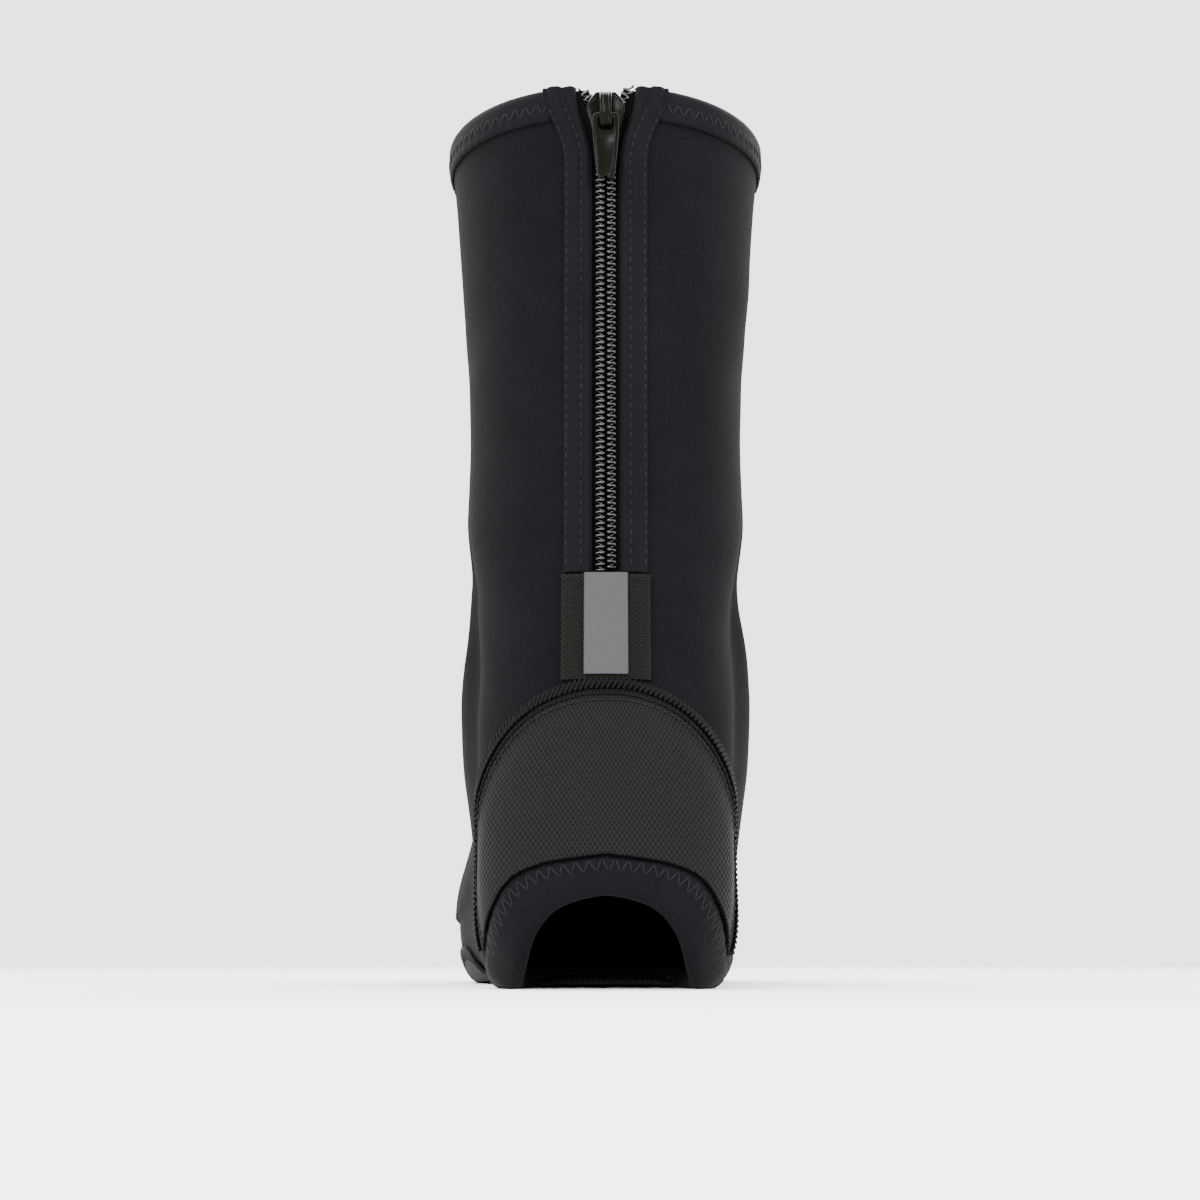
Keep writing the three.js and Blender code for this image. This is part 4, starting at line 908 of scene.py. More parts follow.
def zigzag_row(low, high, normals, pitch):
    """Starts, ends and normals of a zigzag between two lines of points that run side by side."""
    lengths = run_along(low)
    at = np.arange(0, lengths[-1], pitch / 2)
    even = (np.arange(len(at)) % 2 == 0)[:, None]
    holes = np.where(even, at_s(at, low, lengths), at_s(at, high, lengths))
    short = 0.06 * (holes[1:] - holes[:-1])
    return holes[:-1] + short, holes[1:] - short, at_s(at, normals, lengths)[:-1]


THREAD, THREAD_DIP, ABOVE_BINDING = 0.42 * MM, 0.16 * MM, GAP + BINDING_CLOTH + 0.10 * MM
print("one stitch has", len(stitch_faces), "faces")


# %% Zigzag the bindings down
def binding_line(outline, ts, margin, puckers, lap, length, join_at):
    """A line along the top of a swept binding, at a margin from its raw edge."""
    s = np.append(np.arange(len(ts)) / len(ts) * length, length)
    p, n = lay(*outline(np.append(ts, ts[0]), margin))
    lift = waves(s, puckers) * np.clip(margin / lap, 0, 1) ** 1.5
    lift = lift + overlap_step(s, margin, lap, *join_at)
    line = drape(p, n, ABOVE_BINDING + lift)
    line[:, 2] = np.maximum(line[:, 2], PRESSED_FLAT - SHIFT[2])
    return line, n


def sew_binding(name, outline, ts, length, lap, puckers, join_at):
    """A zigzag over the edge of a binding's outer lap."""
    high, out = binding_line(outline, ts, lap - 0.4 * MM, puckers, lap, length, join_at)
    low, _ = binding_line(outline, ts, lap - 3.4 * MM, puckers, lap, length, join_at)
    sew(name, *zigzag_row(low, high, out, ZIGZAG_PITCH), THREAD, THREAD_DIP, thread)


sew_binding("heel_binding_zigzag", *HEEL_RUN)
sew_binding("forefoot_binding_zigzag", *FOREFOOT_RUN)
(high_form, high_out), (low_form, _) = (
    lay(*round_the_shaft(angles, np.full_like(angles, SHAFT_HEIGHT - down))) for down in (3.2 * MM, 6.6 * MM))
high, low = (drape(form, high_out, ABOVE_BINDING) for form in (high_form, low_form))
sew("collar_binding_zigzag", *zigzag_row(low, high, high_out, COLLAR_ZIGZAG_PITCH),
    THREAD, THREAD_DIP, thread)

# %% [markdown]
# ## The heel patch
# A dome of coarse woven cloth takes the rubbing at the heel. It could be cut from the shell's own
# faces. It is its own sheet here, laid fanwise from the heel binding's edge to its rim, because its
# weave, its rim and its thickness are its own.

# %% Lay the patch fanwise
PATCH_MIDDLE = np.array([0, 0, 30 * MM])
PATCH_RADII = np.array([50, 40, 54]) * MM
FAN_MIDDLE_Y, FAN_MIDDLE_Z, FAN_GIRTH = 25 * MM, 10 * MM, 38 * MM
PATCH_COLUMNS, PATCH_ROWS = 150, 60


def round_the_heel(across, z):
    """A ray out of the heel. across is a length round it, from the middle of the back."""
    angle = across / FAN_GIRTH
    starts = np.stack(np.broadcast_arrays(0.0 * angle, FAN_MIDDLE_Y, z), axis=-1)
    directions = np.stack(np.broadcast_arrays(np.sin(angle), -np.cos(angle), 0.0 * angle), axis=-1)
    return lay(starts, directions)


def past_patch(p):
    """Whether points lie beyond the patch's rim, which is cut by an egg-shaped solid."""
    return (((p - PATCH_MIDDLE) / PATCH_RADII) ** 2).sum(axis=-1) > 1


def under_heel_binding(p, margin):
    """Whether points lie within a margin of the heel opening."""
    from_middle = p - HEEL_MIDDLE
    ahead = from_middle @ HEEL_FORWARD
    reach = HEEL_HALF_LENGTH + np.where(ahead < 0, margin * HEEL_REAR_SHARE, margin)
    across = p[..., 0] / (HEEL_OPENING_WIDTH / 2 + margin)
    return across ** 2 + np.abs(ahead / reach) ** (2 / heel_power(ahead, margin)) < 1


def fan(bearing, radius):
    """Points and normals of the heel, at a bearing from straight up and a distance from the fan's middle."""
    return round_the_heel(radius * np.sin(bearing), FAN_MIDDLE_Z + radius * np.cos(bearing))


bearings = np.linspace(-0.60 * math.pi, 0.60 * math.pi, 181)
radii = np.linspace(4 * MM, 100 * MM, 193)
grid_bearing, grid_radius = np.meshgrid(bearings, radii, indexing="ij")
fan_points, _ = fan(grid_bearing, grid_radius)
wanted = ~past_patch(fan_points) & ~under_heel_binding(fan_points, HEEL_LAP + GAP)
has_cloth = wanted.sum(axis=1) > 3
first, last = np.nonzero(has_cloth)[0][[0, -1]]
kept = slice(first, last + 1)
inner_radius = np.array([radii[np.nonzero(row)[0][0]] for row in wanted[kept]])
outer_radius = np.array([radii[np.nonzero(row)[0][-1]] for row in wanted[kept]])
smooth = np.hanning(9) / np.hanning(9).sum()
inner_radius[4:-4] = np.convolve(inner_radius, smooth, "valid")
outer_radius[4:-4] = np.convolve(outer_radius, smooth, "valid")
patch_bearings = np.linspace(bearings[kept][0], bearings[kept][-1], PATCH_COLUMNS)
patch_inner = np.interp(patch_bearings, bearings[kept], inner_radius)
patch_outer = np.interp(patch_bearings, bearings[kept], outer_radius)
share = np.linspace(0, 1, PATCH_ROWS)[:, None]
patch_radius = patch_inner + (patch_outer - patch_inner) * share
patch_bearing = np.broadcast_to(patch_bearings, patch_radius.shape)
patch_form, patch_out = fan(patch_bearing, patch_radius)
from_rim = patch_outer - patch_radius
belly = 0.7 * MM * ease(from_rim / (12 * MM))
tucked = -0.5 * MM * (1 - ease(from_rim / (1.6 * MM)))
patch_points = drape(patch_form, patch_out, GAP + PATCH_CLOTH + belly + tucked)
patch_uv = np.stack([patch_radius * np.sin(patch_bearing), patch_radius * np.cos(patch_bearing)], axis=2)
heel_patch = sheet_of_cloth("heel_patch_cloth", patch_points, patch_uv, patch_out,
                            (patch_weave,), PATCH_CLOTH)
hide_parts("heel_patch")
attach(heel_patch, "shoe")
print("patch bearings:", np.degrees(patch_bearings[[0, -1]]).round(),
      "top radius:", patch_outer.max().round(4))

# %% [markdown]
# The rim is overlocked: threads loop round the cut edge so closely that they read as a braided cord.
# A plain round cord would look like piping, so a soft core is laid first and slanting loops go over
# it. A row of stitches follows the rim a few millimetres inside. Over the top, a thicker rope of the
# same overlock thread lies between the two.

# %% The overlocked rim
CORD_WIDTH, CORD_HEIGHT = 2.4 * MM, 1.5 * MM
rim_bearings = np.linspace(patch_bearings[0], patch_bearings[-1], 260)
rim_radius = np.interp(rim_bearings, patch_bearings, patch_outer)
core_angle = np.linspace(0, math.pi, 9)
core_form, core_out = fan(np.broadcast_to(rim_bearings, (len(core_angle), len(rim_bearings))),
                          rim_radius + GAP + CORD_WIDTH / 2 * (1 + np.cos(core_angle))[:, None])
core_points = drape(core_form, core_out, (GAP + (CORD_HEIGHT - 0.25 * MM) * np.sin(core_angle))[:, None])
rim_s = run_along(core_points[4])
core_uv = np.stack(np.broadcast_arrays(rim_s[None], core_angle[:, None] * MM), axis=2)
cord_core = sheet_of_cloth("heel_patch_rim_core", core_points, core_uv, core_out,
                           (overlock_thread,), 0.5 * MM)
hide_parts("heel_patch_cord")
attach(cord_core, "shoe")


def rim_line(offset, depth):
    """A line beside the patch's rim, and its normals."""
    p, n = fan(rim_bearings, rim_radius + offset)
    return drape(p, n, depth), n


outside, rim_out = rim_line(GAP + CORD_WIDTH * 0.95, GAP + CORD_HEIGHT * 0.55)
inside, _ = rim_line(-0.9 * MM, GAP + PATCH_CLOTH + 0.3 * MM)
LOOP_PITCH, LOOP_SLANT = 1.55 * MM, 2.2 * MM
loops_at = np.arange(0, rim_s[-1] - 2.4 * MM, LOOP_PITCH)


sew("heel_patch_rim_loops", at_s(loops_at, inside, rim_s), at_s(loops_at + LOOP_SLANT, outside, rim_s),
    at_s(loops_at, rim_out, rim_s), 1.15 * MM, -0.65 * MM, overlock_thread)
line, out = rim_line(-4.0 * MM, GAP + PATCH_CLOTH + 0.55 * MM)
sew("heel_patch_stitches", *straight_row(line, out, 2.1 * MM), THREAD, 0.2 * MM, thread)
line, out = rim_line(-2.2 * MM, GAP + PATCH_CLOTH + 0.42 * MM)
near_top = slice(46, 214)
sew("heel_patch_top_stitches", *straight_row(line[near_top], out[near_top], 1.9 * MM, 0.95), 1.9 * THREAD,
    0.12 * MM, overlock_thread)

# %% [markdown]
# ## The arch
# Under the arch a woven strip joins the two openings, and a gusset of ribbed elastic fills each side
# of it. The ribs could be a bump alone. They are real ridges here, because they fan out as the
# gusset widens, and that fan is what makes the piece recognisable.

# %% The woven arch strip with its hems
HEM = 6 * MM


def under_the_sole(x, y):
    """Points and outward normals of the sole at x and y."""
    x, y = np.broadcast_arrays(x, y)
    starts = np.stack([x, y, np.full_like(x, -50 * MM)], axis=-1)
    return lay(starts, np.broadcast_to(UP, starts.shape))


def strip_half(y):
    """Half width of the arch strip. It widens towards the ball."""
    return STRIP_HEEL_WIDTH / 2 + (STRIP_BALL_WIDTH - STRIP_HEEL_WIDTH) / 2 * (y - SEAM_START) / (100 * MM)


# Each row, in millimetres: across, forward, half length, half width and height. Last, its turn.
SOFT_FOLDS = (
    (-4, 104, 22, 5, 0.5, 0.75),
    (9, 96, 18, 4, -0.4, 0.6),
    (2, 114, 20, 4, -0.45, 0.9),
    (-8, 84, 16, 5, 0.3, -0.5),
)


def strip_lift(x, y, hemmed):
    """Height of the strip above its plain surface: its folded hems and its soft folds."""
    total = 0.35 * MM * ease((hemmed - strip_half(y) + HEM) / (0.8 * MM))
    for fx, fy, half_length, half_width, height, turn in SOFT_FOLDS:
        dx, dy = x / MM - fx, y / MM - fy
        along_, aside = dx * math.cos(turn) + dy * math.sin(turn), dy * math.cos(turn) - dx * math.sin(turn)
        fade = (along_ / half_length) ** 2 + (aside / half_width) ** 2
        total = total + 0.8 * height * MM * np.exp(-fade)
    return np.minimum(total, 0.75 * MM)


strip_y = np.linspace(47 * MM, 128 * MM, 110)[:, None]
strip_share = np.linspace(-1, 1, 75)[None]
strip_x = strip_share * strip_half(strip_y)
strip_form, strip_out = under_the_sole(strip_x, strip_y)
strip_points = drape(strip_form, strip_out, strip_lift(strip_x, strip_y, np.abs(strip_x)))
strip_uv = np.stack(np.broadcast_arrays(strip_x, strip_y), axis=2)
arch_strip = sheet_of_cloth("arch_strip_cloth", strip_points, strip_uv, strip_out,
                            (strip_weave,), STRIP_CLOTH)
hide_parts("arch_strip")
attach(arch_strip, "shoe")
for side, sign in (("lateral", -1), ("medial", 1)):
    for place, inset in (("outer", 1.3 * MM), ("inner", 4.9 * MM)):
        y = np.linspace(70 * MM, 119 * MM, 60)
        x = sign * (strip_half(y) - inset)
        p, n = under_the_sole(x, y)
        line = drape(p, n, strip_lift(x, y, np.abs(x)) + 0.1 * MM)
        sew(f"arch_strip_stitches_{side}_{place}", *straight_row(line, n, 2.0 * MM),
            THREAD, 0.18 * MM, thread)

# %% The ribbed gussets
RIDGE_HEIGHT = 0.32 * MM
for side, sign in (("lateral", -1), ("medial", 1)):
    y = np.linspace(SEAM_START + 1 * MM, SEAM_END, 90)[:, None]
    start = strip_half(y) - GUSSET_LAP
    end = np.minimum(seam_across(y, sign) + GUSSET_LAP, half_at[sign](y) - 1.5 * MM)
    share = np.linspace(0, 1, 150)[None]
    x = start + (end - start) * share
    pitch = (1.05 + 0.85 * ease((y - 60 * MM) / (60 * MM))) * MM
    phase = (x - start) / pitch
    p, n = under_the_sole(sign * x, y)
    ridges = RIDGE_HEIGHT * (np.abs(np.cos(math.pi * phase)) ** 0.8 - 1.0)
    points = drape(p, n, ridges - 1.5 * MM)
    uv = np.stack(np.broadcast_arrays(x, y), axis=2)
    gusset = sheet_of_cloth(f"arch_gusset_cloth_{side}", points, uv, n, (elastic,), 0.7 * MM)
    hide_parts(f"arch_gusset_{side}")
    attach(gusset, "shoe")

# %% [markdown]
# ## The webbing and its strip
# A short length of ribbed webbing covers the foot of the zip, with a flat grey reflective strip down
# its middle. Webbing could be a flat band with a bump. Its ribs are coarse enough to break its
# outline, so they are real here.

# %% Webbing and reflective strip
def behind_the_shaft(x, z):
    """Points and outward normals of the back of the form at x and z."""
    x, z = np.broadcast_arrays(x, z)
    starts = np.stack([x, np.full_like(x, -60 * MM), z], axis=-1)
    return lay(starts, np.broadcast_to(np.array([0, 1.0, 0]), starts.shape))


WEBBING_WIDTH, REFLECTOR_WIDTH, RIB_PITCH = 25 * MM, 12.2 * MM, 0.8 * MM
WEBBING_LOW, WEBBING_HIGH = 85.0 * MM, 116.6 * MM
z = np.linspace(WEBBING_LOW, WEBBING_HIGH, 260)[:, None]
x = np.linspace(-WEBBING_WIDTH / 2, WEBBING_WIDTH / 2, 44)[None]
p, n = behind_the_shaft(x, z)
ribs_ = -0.15 * MM * np.cos(2 * math.pi * z / RIB_PITCH) * (1 - 0.5 * (np.abs(x) / (WEBBING_WIDTH / 2)) ** 8)
below_top = WEBBING_HIGH - z
folded = 0.35 * MM * ease(2 - below_top / (1.2 * MM)) * (1 - ease(1 - below_top / (0.6 * MM)))
points = drape(p, n, GAP + WEBBING_CLOTH - 0.1 * MM + ribs_ + folded)
webbing = sheet_of_cloth("webbing_band", points, np.stack(np.broadcast_arrays(x, z), axis=2), n,
                         (webbing_cloth,), WEBBING_CLOTH * 0.8)
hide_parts("webbing_tab")
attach(webbing, "shoe")
z = np.linspace(WEBBING_LOW + 1.4 * MM, WEBBING_HIGH + 0.1 * MM, 90)[:, None]
x = np.linspace(-REFLECTOR_WIDTH / 2, REFLECTOR_WIDTH / 2, 34)[None]
p, n = behind_the_shaft(x, z)
edge = ease((REFLECTOR_WIDTH / 2 - np.abs(x)) / (0.5 * MM)) - 1
ripple = 0.05 * MM * np.sin(z / (2.3 * MM)) + 0.04 * MM * np.sin(z / (0.9 * MM) + 8 * x / REFLECTOR_WIDTH)
points = drape(p, n, GAP + WEBBING_CLOTH + GAP + REFLECTOR_CLOTH + 0.2 * MM * edge + ripple)
reflective = sheet_of_cloth("reflective_band", points, np.stack(np.broadcast_arrays(x, z), axis=2), n,
                            (reflector,), REFLECTOR_CLOTH)
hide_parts("reflective_strip")
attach(reflective, "shoe")

# %% [markdown]
# ## The zip
# A coil zip runs up the back of the shaft. Each side is a woven tape with a plastic coil sewn along
# it, and a strip of binding faces the neoprene beside it. The coils are swept as real helices: a
# bump would never catch the light on each lobe. Near the collar the two sides part and flare.

# %% The facings
ZIP_TOP = SHAFT_HEIGHT + 1.5 * MM
# Margin from the zip channel and depth, in millimetres, from the inner fold out to the edge.
FACING_PROFILE = (
    (-0.4, -1.9), (-1.0, -1.5), (-1.25, -0.9), (-1.25, -0.2), (-1.0, 0.65), (-0.4, 1.30), (0.4, 1.55),
    (1.2, 1.45), (1.8, 1.00), (2.4, 1.45), (3.3, 1.78), (4.4, 1.76), (5.4, 1.42), (6.0, 0.95),
    (6.4, 1.15), (6.8, 1.05), (7.0, 0.35),
)
profile_margin, profile_depth = (np.array(values) * MM for values in zip(*FACING_PROFILE))
facing_z = np.concatenate([np.linspace(ZIP_BOTTOM, ZIP_TOP - 0.7 * MM, 190), [ZIP_TOP - 0.25 * MM, ZIP_TOP]])
over_top = np.concatenate([np.zeros(190), [-0.5 * MM, -1.7 * MM]])
flare = ease((facing_z - 249 * MM) / (12 * MM))


def facing_line(margin, depth, sign):
    """A line up one facing, at a margin from the zip channel, turned outward at its top."""
    x = channel_half(facing_z) + margin + 1.1 * MM * flare * (margin > 1 * MM)
    p, n = behind_the_shaft(sign * x, facing_z)
    gathers = 0.3 * MM * flare * math.cos(2 * math.pi * margin / (2.3 * MM))
    over_collar = 0.95 * MM * flare * (margin > 2 * MM)
    slack = 0.12 * MM * np.sin(facing_z / (7.3 * MM) + sign) * (margin > 2 * MM)
    return drape(p, n, depth + gathers + over_collar + slack + over_top), n


for side, sign in (("lateral", -1), ("medial", 1)):
    lines = [facing_line(margin, depth, sign) for margin, depth in zip(profile_margin, profile_depth)]
    points, normals = np.array([line for line, _ in lines]), np.array([n for _, n in lines])
    normals[:4] = np.array([-sign, 0, 0])
    uv = np.stack(np.broadcast_arrays(facing_z[None], profile_margin[:, None]), axis=2)
    facing = sheet_of_cloth(f"zip_facing_strip_{side}", points, uv, normals[5:6].repeat(len(points), axis=0),
                            (binding_cloth,), 0.7 * MM)
    apply_modifier(facing, "SUBSURF", levels=1, render_levels=1)
    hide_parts(f"zip_facing_{side}")
    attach(facing, "shoe")
    for place, index in (("inner", 8), ("outer", 13)):
        line, n = facing_line(profile_margin[index], profile_depth[index] + 0.12 * MM, sign)
        shown = slice(2, 186)
        sew(f"zip_facing_stitches_{side}_{place}", *straight_row(line[shown], n[shown], 2.9 * MM),
            1.15 * THREAD, THREAD_DIP, thread)

# %% The tapes
COIL_CLOSED, COIL_SPREAD, COIL_MOUTH, COIL_PITCH = 1.58 * MM, 9 * MM, 7.1 * MM, 1.75 * MM


def coil_at(z):
    """How far from the middle a coil runs at a height. Closed, its heads come close to the middle."""
    opened = ease((z - SHAFT_HEIGHT + COIL_SPREAD) / (COIL_SPREAD + 2.6 * MM))
    return COIL_CLOSED + (COIL_MOUTH - COIL_CLOSED) * opened


for side, sign in (("lateral", -1), ("medial", 1)):
    z = np.linspace(ZIP_BOTTOM, SHAFT_HEIGHT + 1.4 * MM, 220)[:, None]
    start, end = coil_at(z) - COIL_CLOSED, channel_half(z) + 6.2 * MM
    x = start + (end - start) * np.linspace(0, 1, 26)[None]
    p, n = behind_the_shaft(sign * x, z)
    uv = np.stack(np.broadcast_arrays(x, z), axis=2)
    tape = sheet_of_cloth(f"zip_tape_cloth_{side}", drape(p, n, -WALL - GAP), uv, n,
                          (tape_cloth,), TAPE_CLOTH)
    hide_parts(f"zip_tape_{side}")
    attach(tape, "shoe")

# %% The coils, turn by turn
STEPS_A_TURN, WIRE_SIDES, COIL_REACH = 12, 7, 1.30 * MM
coil_low, coil_high = ZIP_BOTTOM + 1 * MM, SHAFT_HEIGHT + 2.4 * MM
for side, sign in (("lateral", -1), ("medial", 1)):
    guide_z = np.linspace(coil_low - 2 * MM, coil_high + 1 * MM, 400)
    p, n = behind_the_shaft(sign * coil_at(guide_z), guide_z)
    guide = drape(p, n, -2.0 * MM)
    lengths = run_along(guide)
    first_s = np.interp(coil_low, guide_z, lengths)
    turns = int((lengths[-1] - first_s - 1 * MM) / COIL_PITCH)
    steps = np.arange(turns * STEPS_A_TURN + 1)
    theta = 2 * math.pi * steps / STEPS_A_TURN
    level = 0.14 * np.cos(theta)
    s = first_s + COIL_PITCH * (steps / STEPS_A_TURN + level + (0.5 if sign > 0 else 0))
    middle, out = at_s(s, guide, lengths), at_s(s, n, lengths)
    up = at_s(s + 0.5 * MM, guide, lengths) - at_s(s - 0.5 * MM, guide, lengths)
    up /= np.linalg.norm(up, axis=1, keepdims=True)
    beside = sign * np.cross(out, up)
    beside /= np.linalg.norm(beside, axis=1, keepdims=True)
    away = np.cos(theta)
    head = np.clip(away, 0, 1) ** 8
    lift = (0.50 * np.sin(theta) + 0.72 * head) * MM
    path = middle - beside * (COIL_REACH * away)[:, None] + out * lift[:, None]
    front = np.clip(np.sin(theta), 0, 1)
    wire = (0.30 + 0.30 * front * np.clip(0.35 - away, 0, 1) + 0.11 * head) * MM
    tangent = np.gradient(path, axis=0)
    tangent /= np.linalg.norm(tangent, axis=1, keepdims=True)
    one = np.cross(tangent, up)
    one /= np.linalg.norm(one, axis=1, keepdims=True)
    two = np.cross(tangent, one)
    ring = np.linspace(0, 2 * math.pi, WIRE_SIDES + 1)
    tube = (path[None] + one[None] * (np.cos(ring)[:, None] * wire[None])[..., None]
            + two[None] * (np.sin(ring)[:, None] * wire[None])[..., None])
    uv = np.stack(np.broadcast_arrays(s[None], ring[:, None] * MM), axis=2)
    coil = sheet_of_cloth(f"zip_coil_wire_{side}", tube, uv, tube - path[None], (coil_plastic,), closed=True)
    edit_all(coil, bpy.ops.mesh.fill_holes, sides=WIRE_SIDES)
    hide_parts(f"zip_coil_{side}")
    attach(coil, "shoe")
    print("coil", side, "has", turns, "turns and", len(coil.data.polygons), "faces")

# %% [markdown]
# ## The slider and its pull tab
# The slider is a small enamelled casting: a shield-shaped front plate with turned-in flanges, a back
# plate behind the coils, and a crown that the pull tab hangs from. Each plate is drawn as an outline,
# extruded and bevelled, because the bright lines along its edges are what makes it read as metal.

# %% A plate from an outline
SLIDER_MIDDLE = SHAFT_HEIGHT - 7 * MM
seat, _ = behind_the_shaft(np.zeros(2), np.array([SLIDER_MIDDLE - 5 * MM, SLIDER_MIDDLE + 5 * MM]))
rightward, upward = Vector((1, 0, 0)), Vector(seat[1] - seat[0]).normalized()
outward = rightward.cross(upward).normalized()
slider_origin = Vector(seat.mean(axis=0) + SHIFT)
slider_turn = Matrix((rightward, upward, outward)).transposed().to_4x4()
slider_place = Matrix.Translation(slider_origin) @ slider_turn


def bevel_edges(obj, width, segments, angle):
    """Rounds the edges that are sharper than an angle. width is in mm and angle in degrees."""
    apply_modifier(obj, "BEVEL", width=width * MM, segments=segments, limit_method="ANGLE",
                   angle_limit=math.radians(angle))


def plate(name, outline, low, high, bevel, place):
    """A bevelled plate. outline is in mm across and up, low and high in mm outward."""
    bpy.ops.object.select_all(action="DESELECT")
    bpy.ops.mesh.primitive_circle_add(vertices=len(outline), radius=1, fill_type="NGON")
    obj = bpy.context.object
    obj.name = obj.data.name = name
    for vertex, (x, y) in zip(obj.data.vertices, outline):
        vertex.co = (x * MM, y * MM, low * MM)
    edit_all(obj, bpy.ops.mesh.extrude_region_move,
             TRANSFORM_OT_translate={"value": (0, 0, (high - low) * MM)})
    edit_all(obj, bpy.ops.mesh.normals_make_consistent)
    if bevel:
        bevel_edges(obj, bevel, 3, 40)
    obj.data.transform(place)
    obj.data.materials.append(bronze)
    return obj


def one_piece(name, parts, body, replaced):
    """Joins parts into one piece that stands for a node of the frame."""
    only(parts[0])
    for part in parts[1:]:
        part.select_set(True)
    if len(parts) > 1:
        bpy.ops.object.join()
    parts[0].name = parts[0].data.name = name
    bpy.ops.object.shade_smooth_by_angle(angle=math.radians(35))
    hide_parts(replaced)
    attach(parts[0], body)
    print(name, "has", len(parts[0].data.polygons), "faces")


def cut_from(obj, cutter):
    """Cuts one shape out of another with an applied Boolean modifier."""
    apply_modifier(obj, "BOOLEAN", object=cutter, operation="DIFFERENCE", solver="EXACT")
    bpy.data.objects.remove(cutter)


def both_sides(half):
    """A closed outline from its right half, given from the top down."""
    return [(x, y) for x, y in half] + [(-x, y) for x, y in reversed(half)]


# %% The slider's plates and crown
SHIELD = both_sides([(2.9, 6.0), (3.7, 5.2), (4.9, 3.6), (5.6, 2.0), (5.75, 0.6), (5.45, -1.0),
                     (4.75, -3.4), (4.3, -5.2), (3.9, -5.9)])
INNER_SHIELD = [(x * 0.80, y * 0.84) for x, y in SHIELD]
front = plate("slider_front", SHIELD, -0.25, 1.05, 0.42, slider_place)
cut_from(front, plate("slider_recess", INNER_SHIELD, 0.72, 1.6, 0.0, slider_place))
bevel_edges(front, 0.12, 2, 50)
back = plate("slider_back", [(x * 0.94, y * 0.97) for x, y in SHIELD], -4.7, -3.75, 0.3, slider_place)
FLANGE = [(5.62, 1.9), (5.7, 0.6), (5.4, -1.0), (4.7, -3.4), (4.25, -5.1), (3.5, -5.1), (3.9, -3.2),
          (4.55, -0.9), (4.8, 0.6), (4.75, 1.6)]
flanges = [plate("slider_flange", [(sign * x, y) for x, y in FLANGE], -1.15, 0.2, 0.28, slider_place)
           for sign in (1, -1)]
post = plate("slider_post", both_sides([(1.15, 5.9), (1.25, 4.9), (0.7, 3.5)]), -4.1, 0.2, 0.15, slider_place)
sideways = slider_place @ Matrix(((0, 0, 1, 0), (1, 0, 0, 0), (0, 1, 0, 0), (0, 0, 0, 1)))
CROWN = [(5.55, 0.8), (5.5, 2.4), (5.0, 3.7), (4.0, 4.6), (2.6, 4.95), (0.2, 4.95), (-2.2, 4.85),
         (-4.0, 4.2), (-5.0, 3.1), (-5.5, 1.9), (-5.6, 0.8), (-4.3, 0.8), (-4.15, 1.9), (-3.5, 2.9),
         (-2.2, 3.6), (0.2, 3.8), (2.4, 3.75), (3.6, 3.2), (4.2, 2.2), (4.3, 0.8)]
web_of_crown = plate("crown_web", [(y, z - 0.22) for y, z in CROWN], -1.45, 1.45, 0.15, sideways)
rails = [plate("crown_rail", CROWN, place - 0.5, place + 0.5, 0.26, sideways) for place in (-1.25, 1.25)]
one_piece("slider_casting", [front, back, post, web_of_crown] + flanges + rails, "shoe", "zip_slider")

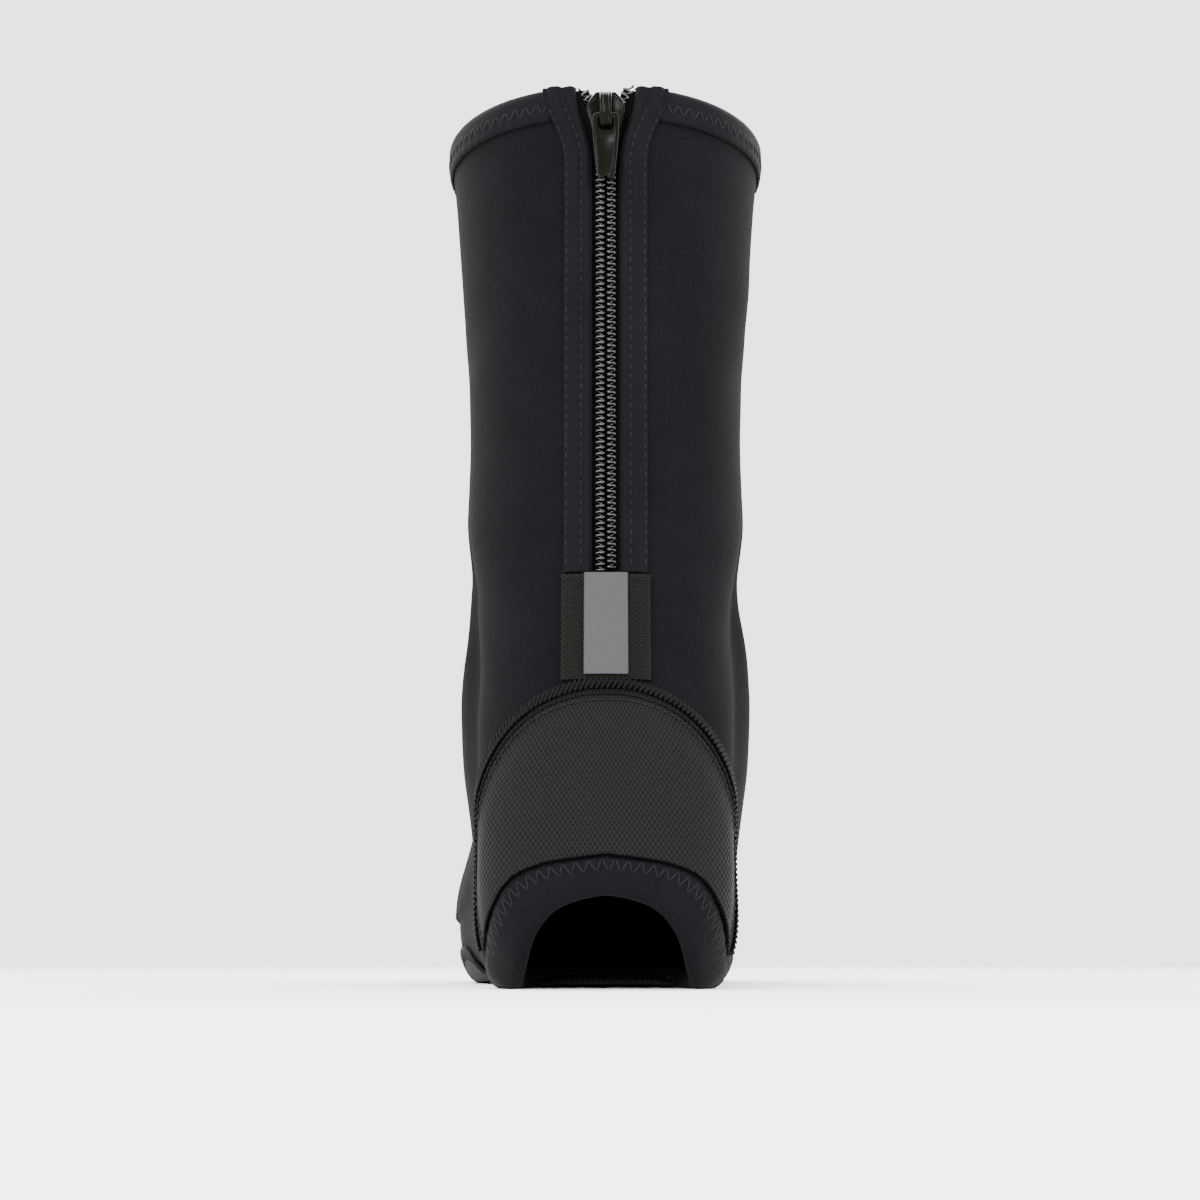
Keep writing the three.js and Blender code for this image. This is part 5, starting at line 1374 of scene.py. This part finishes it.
# %% The pull tab, hanging plumb
tab_low, tab_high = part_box("zip_pull_tab")
tab_top = Vector((slider_origin.x, (tab_low[1] + tab_high[1]) / 2, tab_high[2]))
tab_place = Matrix.Translation(tab_top) @ Matrix.Rotation(math.radians(90), 4, "X")
TAB = both_sides([(2.7, 0.0), (3.6, -0.5), (4.0, -1.4), (3.95, -6.0), (3.35, -13.0), (2.75, -18.4),
                  (2.5, -19.8), (1.9, -20.55), (0.9, -20.6), (0.6, -19.9)])
WINDOW = both_sides([(1.9, -1.2), (2.3, -1.7), (2.3, -5.1), (2.0, -5.6)])
PANEL = both_sides([(2.75, -7.6), (2.6, -10.0), (2.15, -16.6), (1.7, -18.3)])
tab = plate("pull_tab_plate", TAB, -0.6, 0.6, 0.32, tab_place)
for cutter, depth in ((WINDOW, (-1.5, 1.5)), (PANEL, (0.28, 1.5)), (PANEL, (-1.5, -0.28))):
    cut_from(tab, plate("cutter", cutter, *depth, 0.0, tab_place))
bevel_edges(tab, 0.14, 2, 55)
one_piece("pull_tab_casting", [tab], "pull_tab", "zip_pull_tab")
print("tab from", [round(v, 4) for v in tab_low], "to", [round(v, 4) for v in tab_high])

# %% [markdown]
# ## Floor, light and camera
# The photograph has soft even light and a pale ground. Large area lights give that without hard
# shadows. The camera looks at the back of the heel from as low as the floor allows.

# %% Floor, light and camera
bpy.ops.object.select_all(action="DESELECT")
bpy.ops.mesh.primitive_plane_add(size=12)
floor = bpy.context.object
floor.name = "studio_floor"
pale = bpy.data.materials.new("pale floor")
pale.use_nodes = True
pale.node_tree.nodes["Principled BSDF"].inputs["Base Color"].default_value = (0.95, 0.95, 0.95, 1)
pale.node_tree.nodes["Principled BSDF"].inputs["Roughness"].default_value = 0.9
floor.data.materials.append(pale)

world = bpy.data.worlds.new("soft studio")
bpy.context.scene.world = world
world.use_nodes = True
world.node_tree.nodes["Background"].inputs["Color"].default_value = (1, 1, 1, 1)
world.node_tree.nodes["Background"].inputs["Strength"].default_value = 3.0
LIGHTS = (((-1.1, -1.3, 1.5), 1.1, 44), ((1.3, -1.0, 1.0), 0.9, 30), ((-0.9, 0.5, 1.2), 0.7, 16),
          ((0.9, 0.9, 1.3), 0.8, 16), ((-0.25, -1.2, 0.45), 0.3, 9))
for place, size, power in LIGHTS:
    bpy.ops.object.light_add(type="AREA", location=place)
    light = bpy.context.object
    light.data.size, light.data.energy = size, power
    light.rotation_euler = (Vector((0, 0, 0.14)) - Vector(place)).to_track_quat("-Z", "Y").to_euler()

CAMERA_AWAY, CAMERA_HEIGHT, CAMERA_PITCH = 0.55, 0.008, 10.3
bpy.ops.object.camera_add(location=(SHIFT[0] - 1.7 * MM, SHIFT[1] - CAMERA_AWAY, CAMERA_HEIGHT),
                          rotation=(math.radians(90 + CAMERA_PITCH), 0, 0))
camera = bpy.context.object
camera.data.lens = 59.5
camera.data.clip_start = 0.005
bpy.context.scene.camera = camera
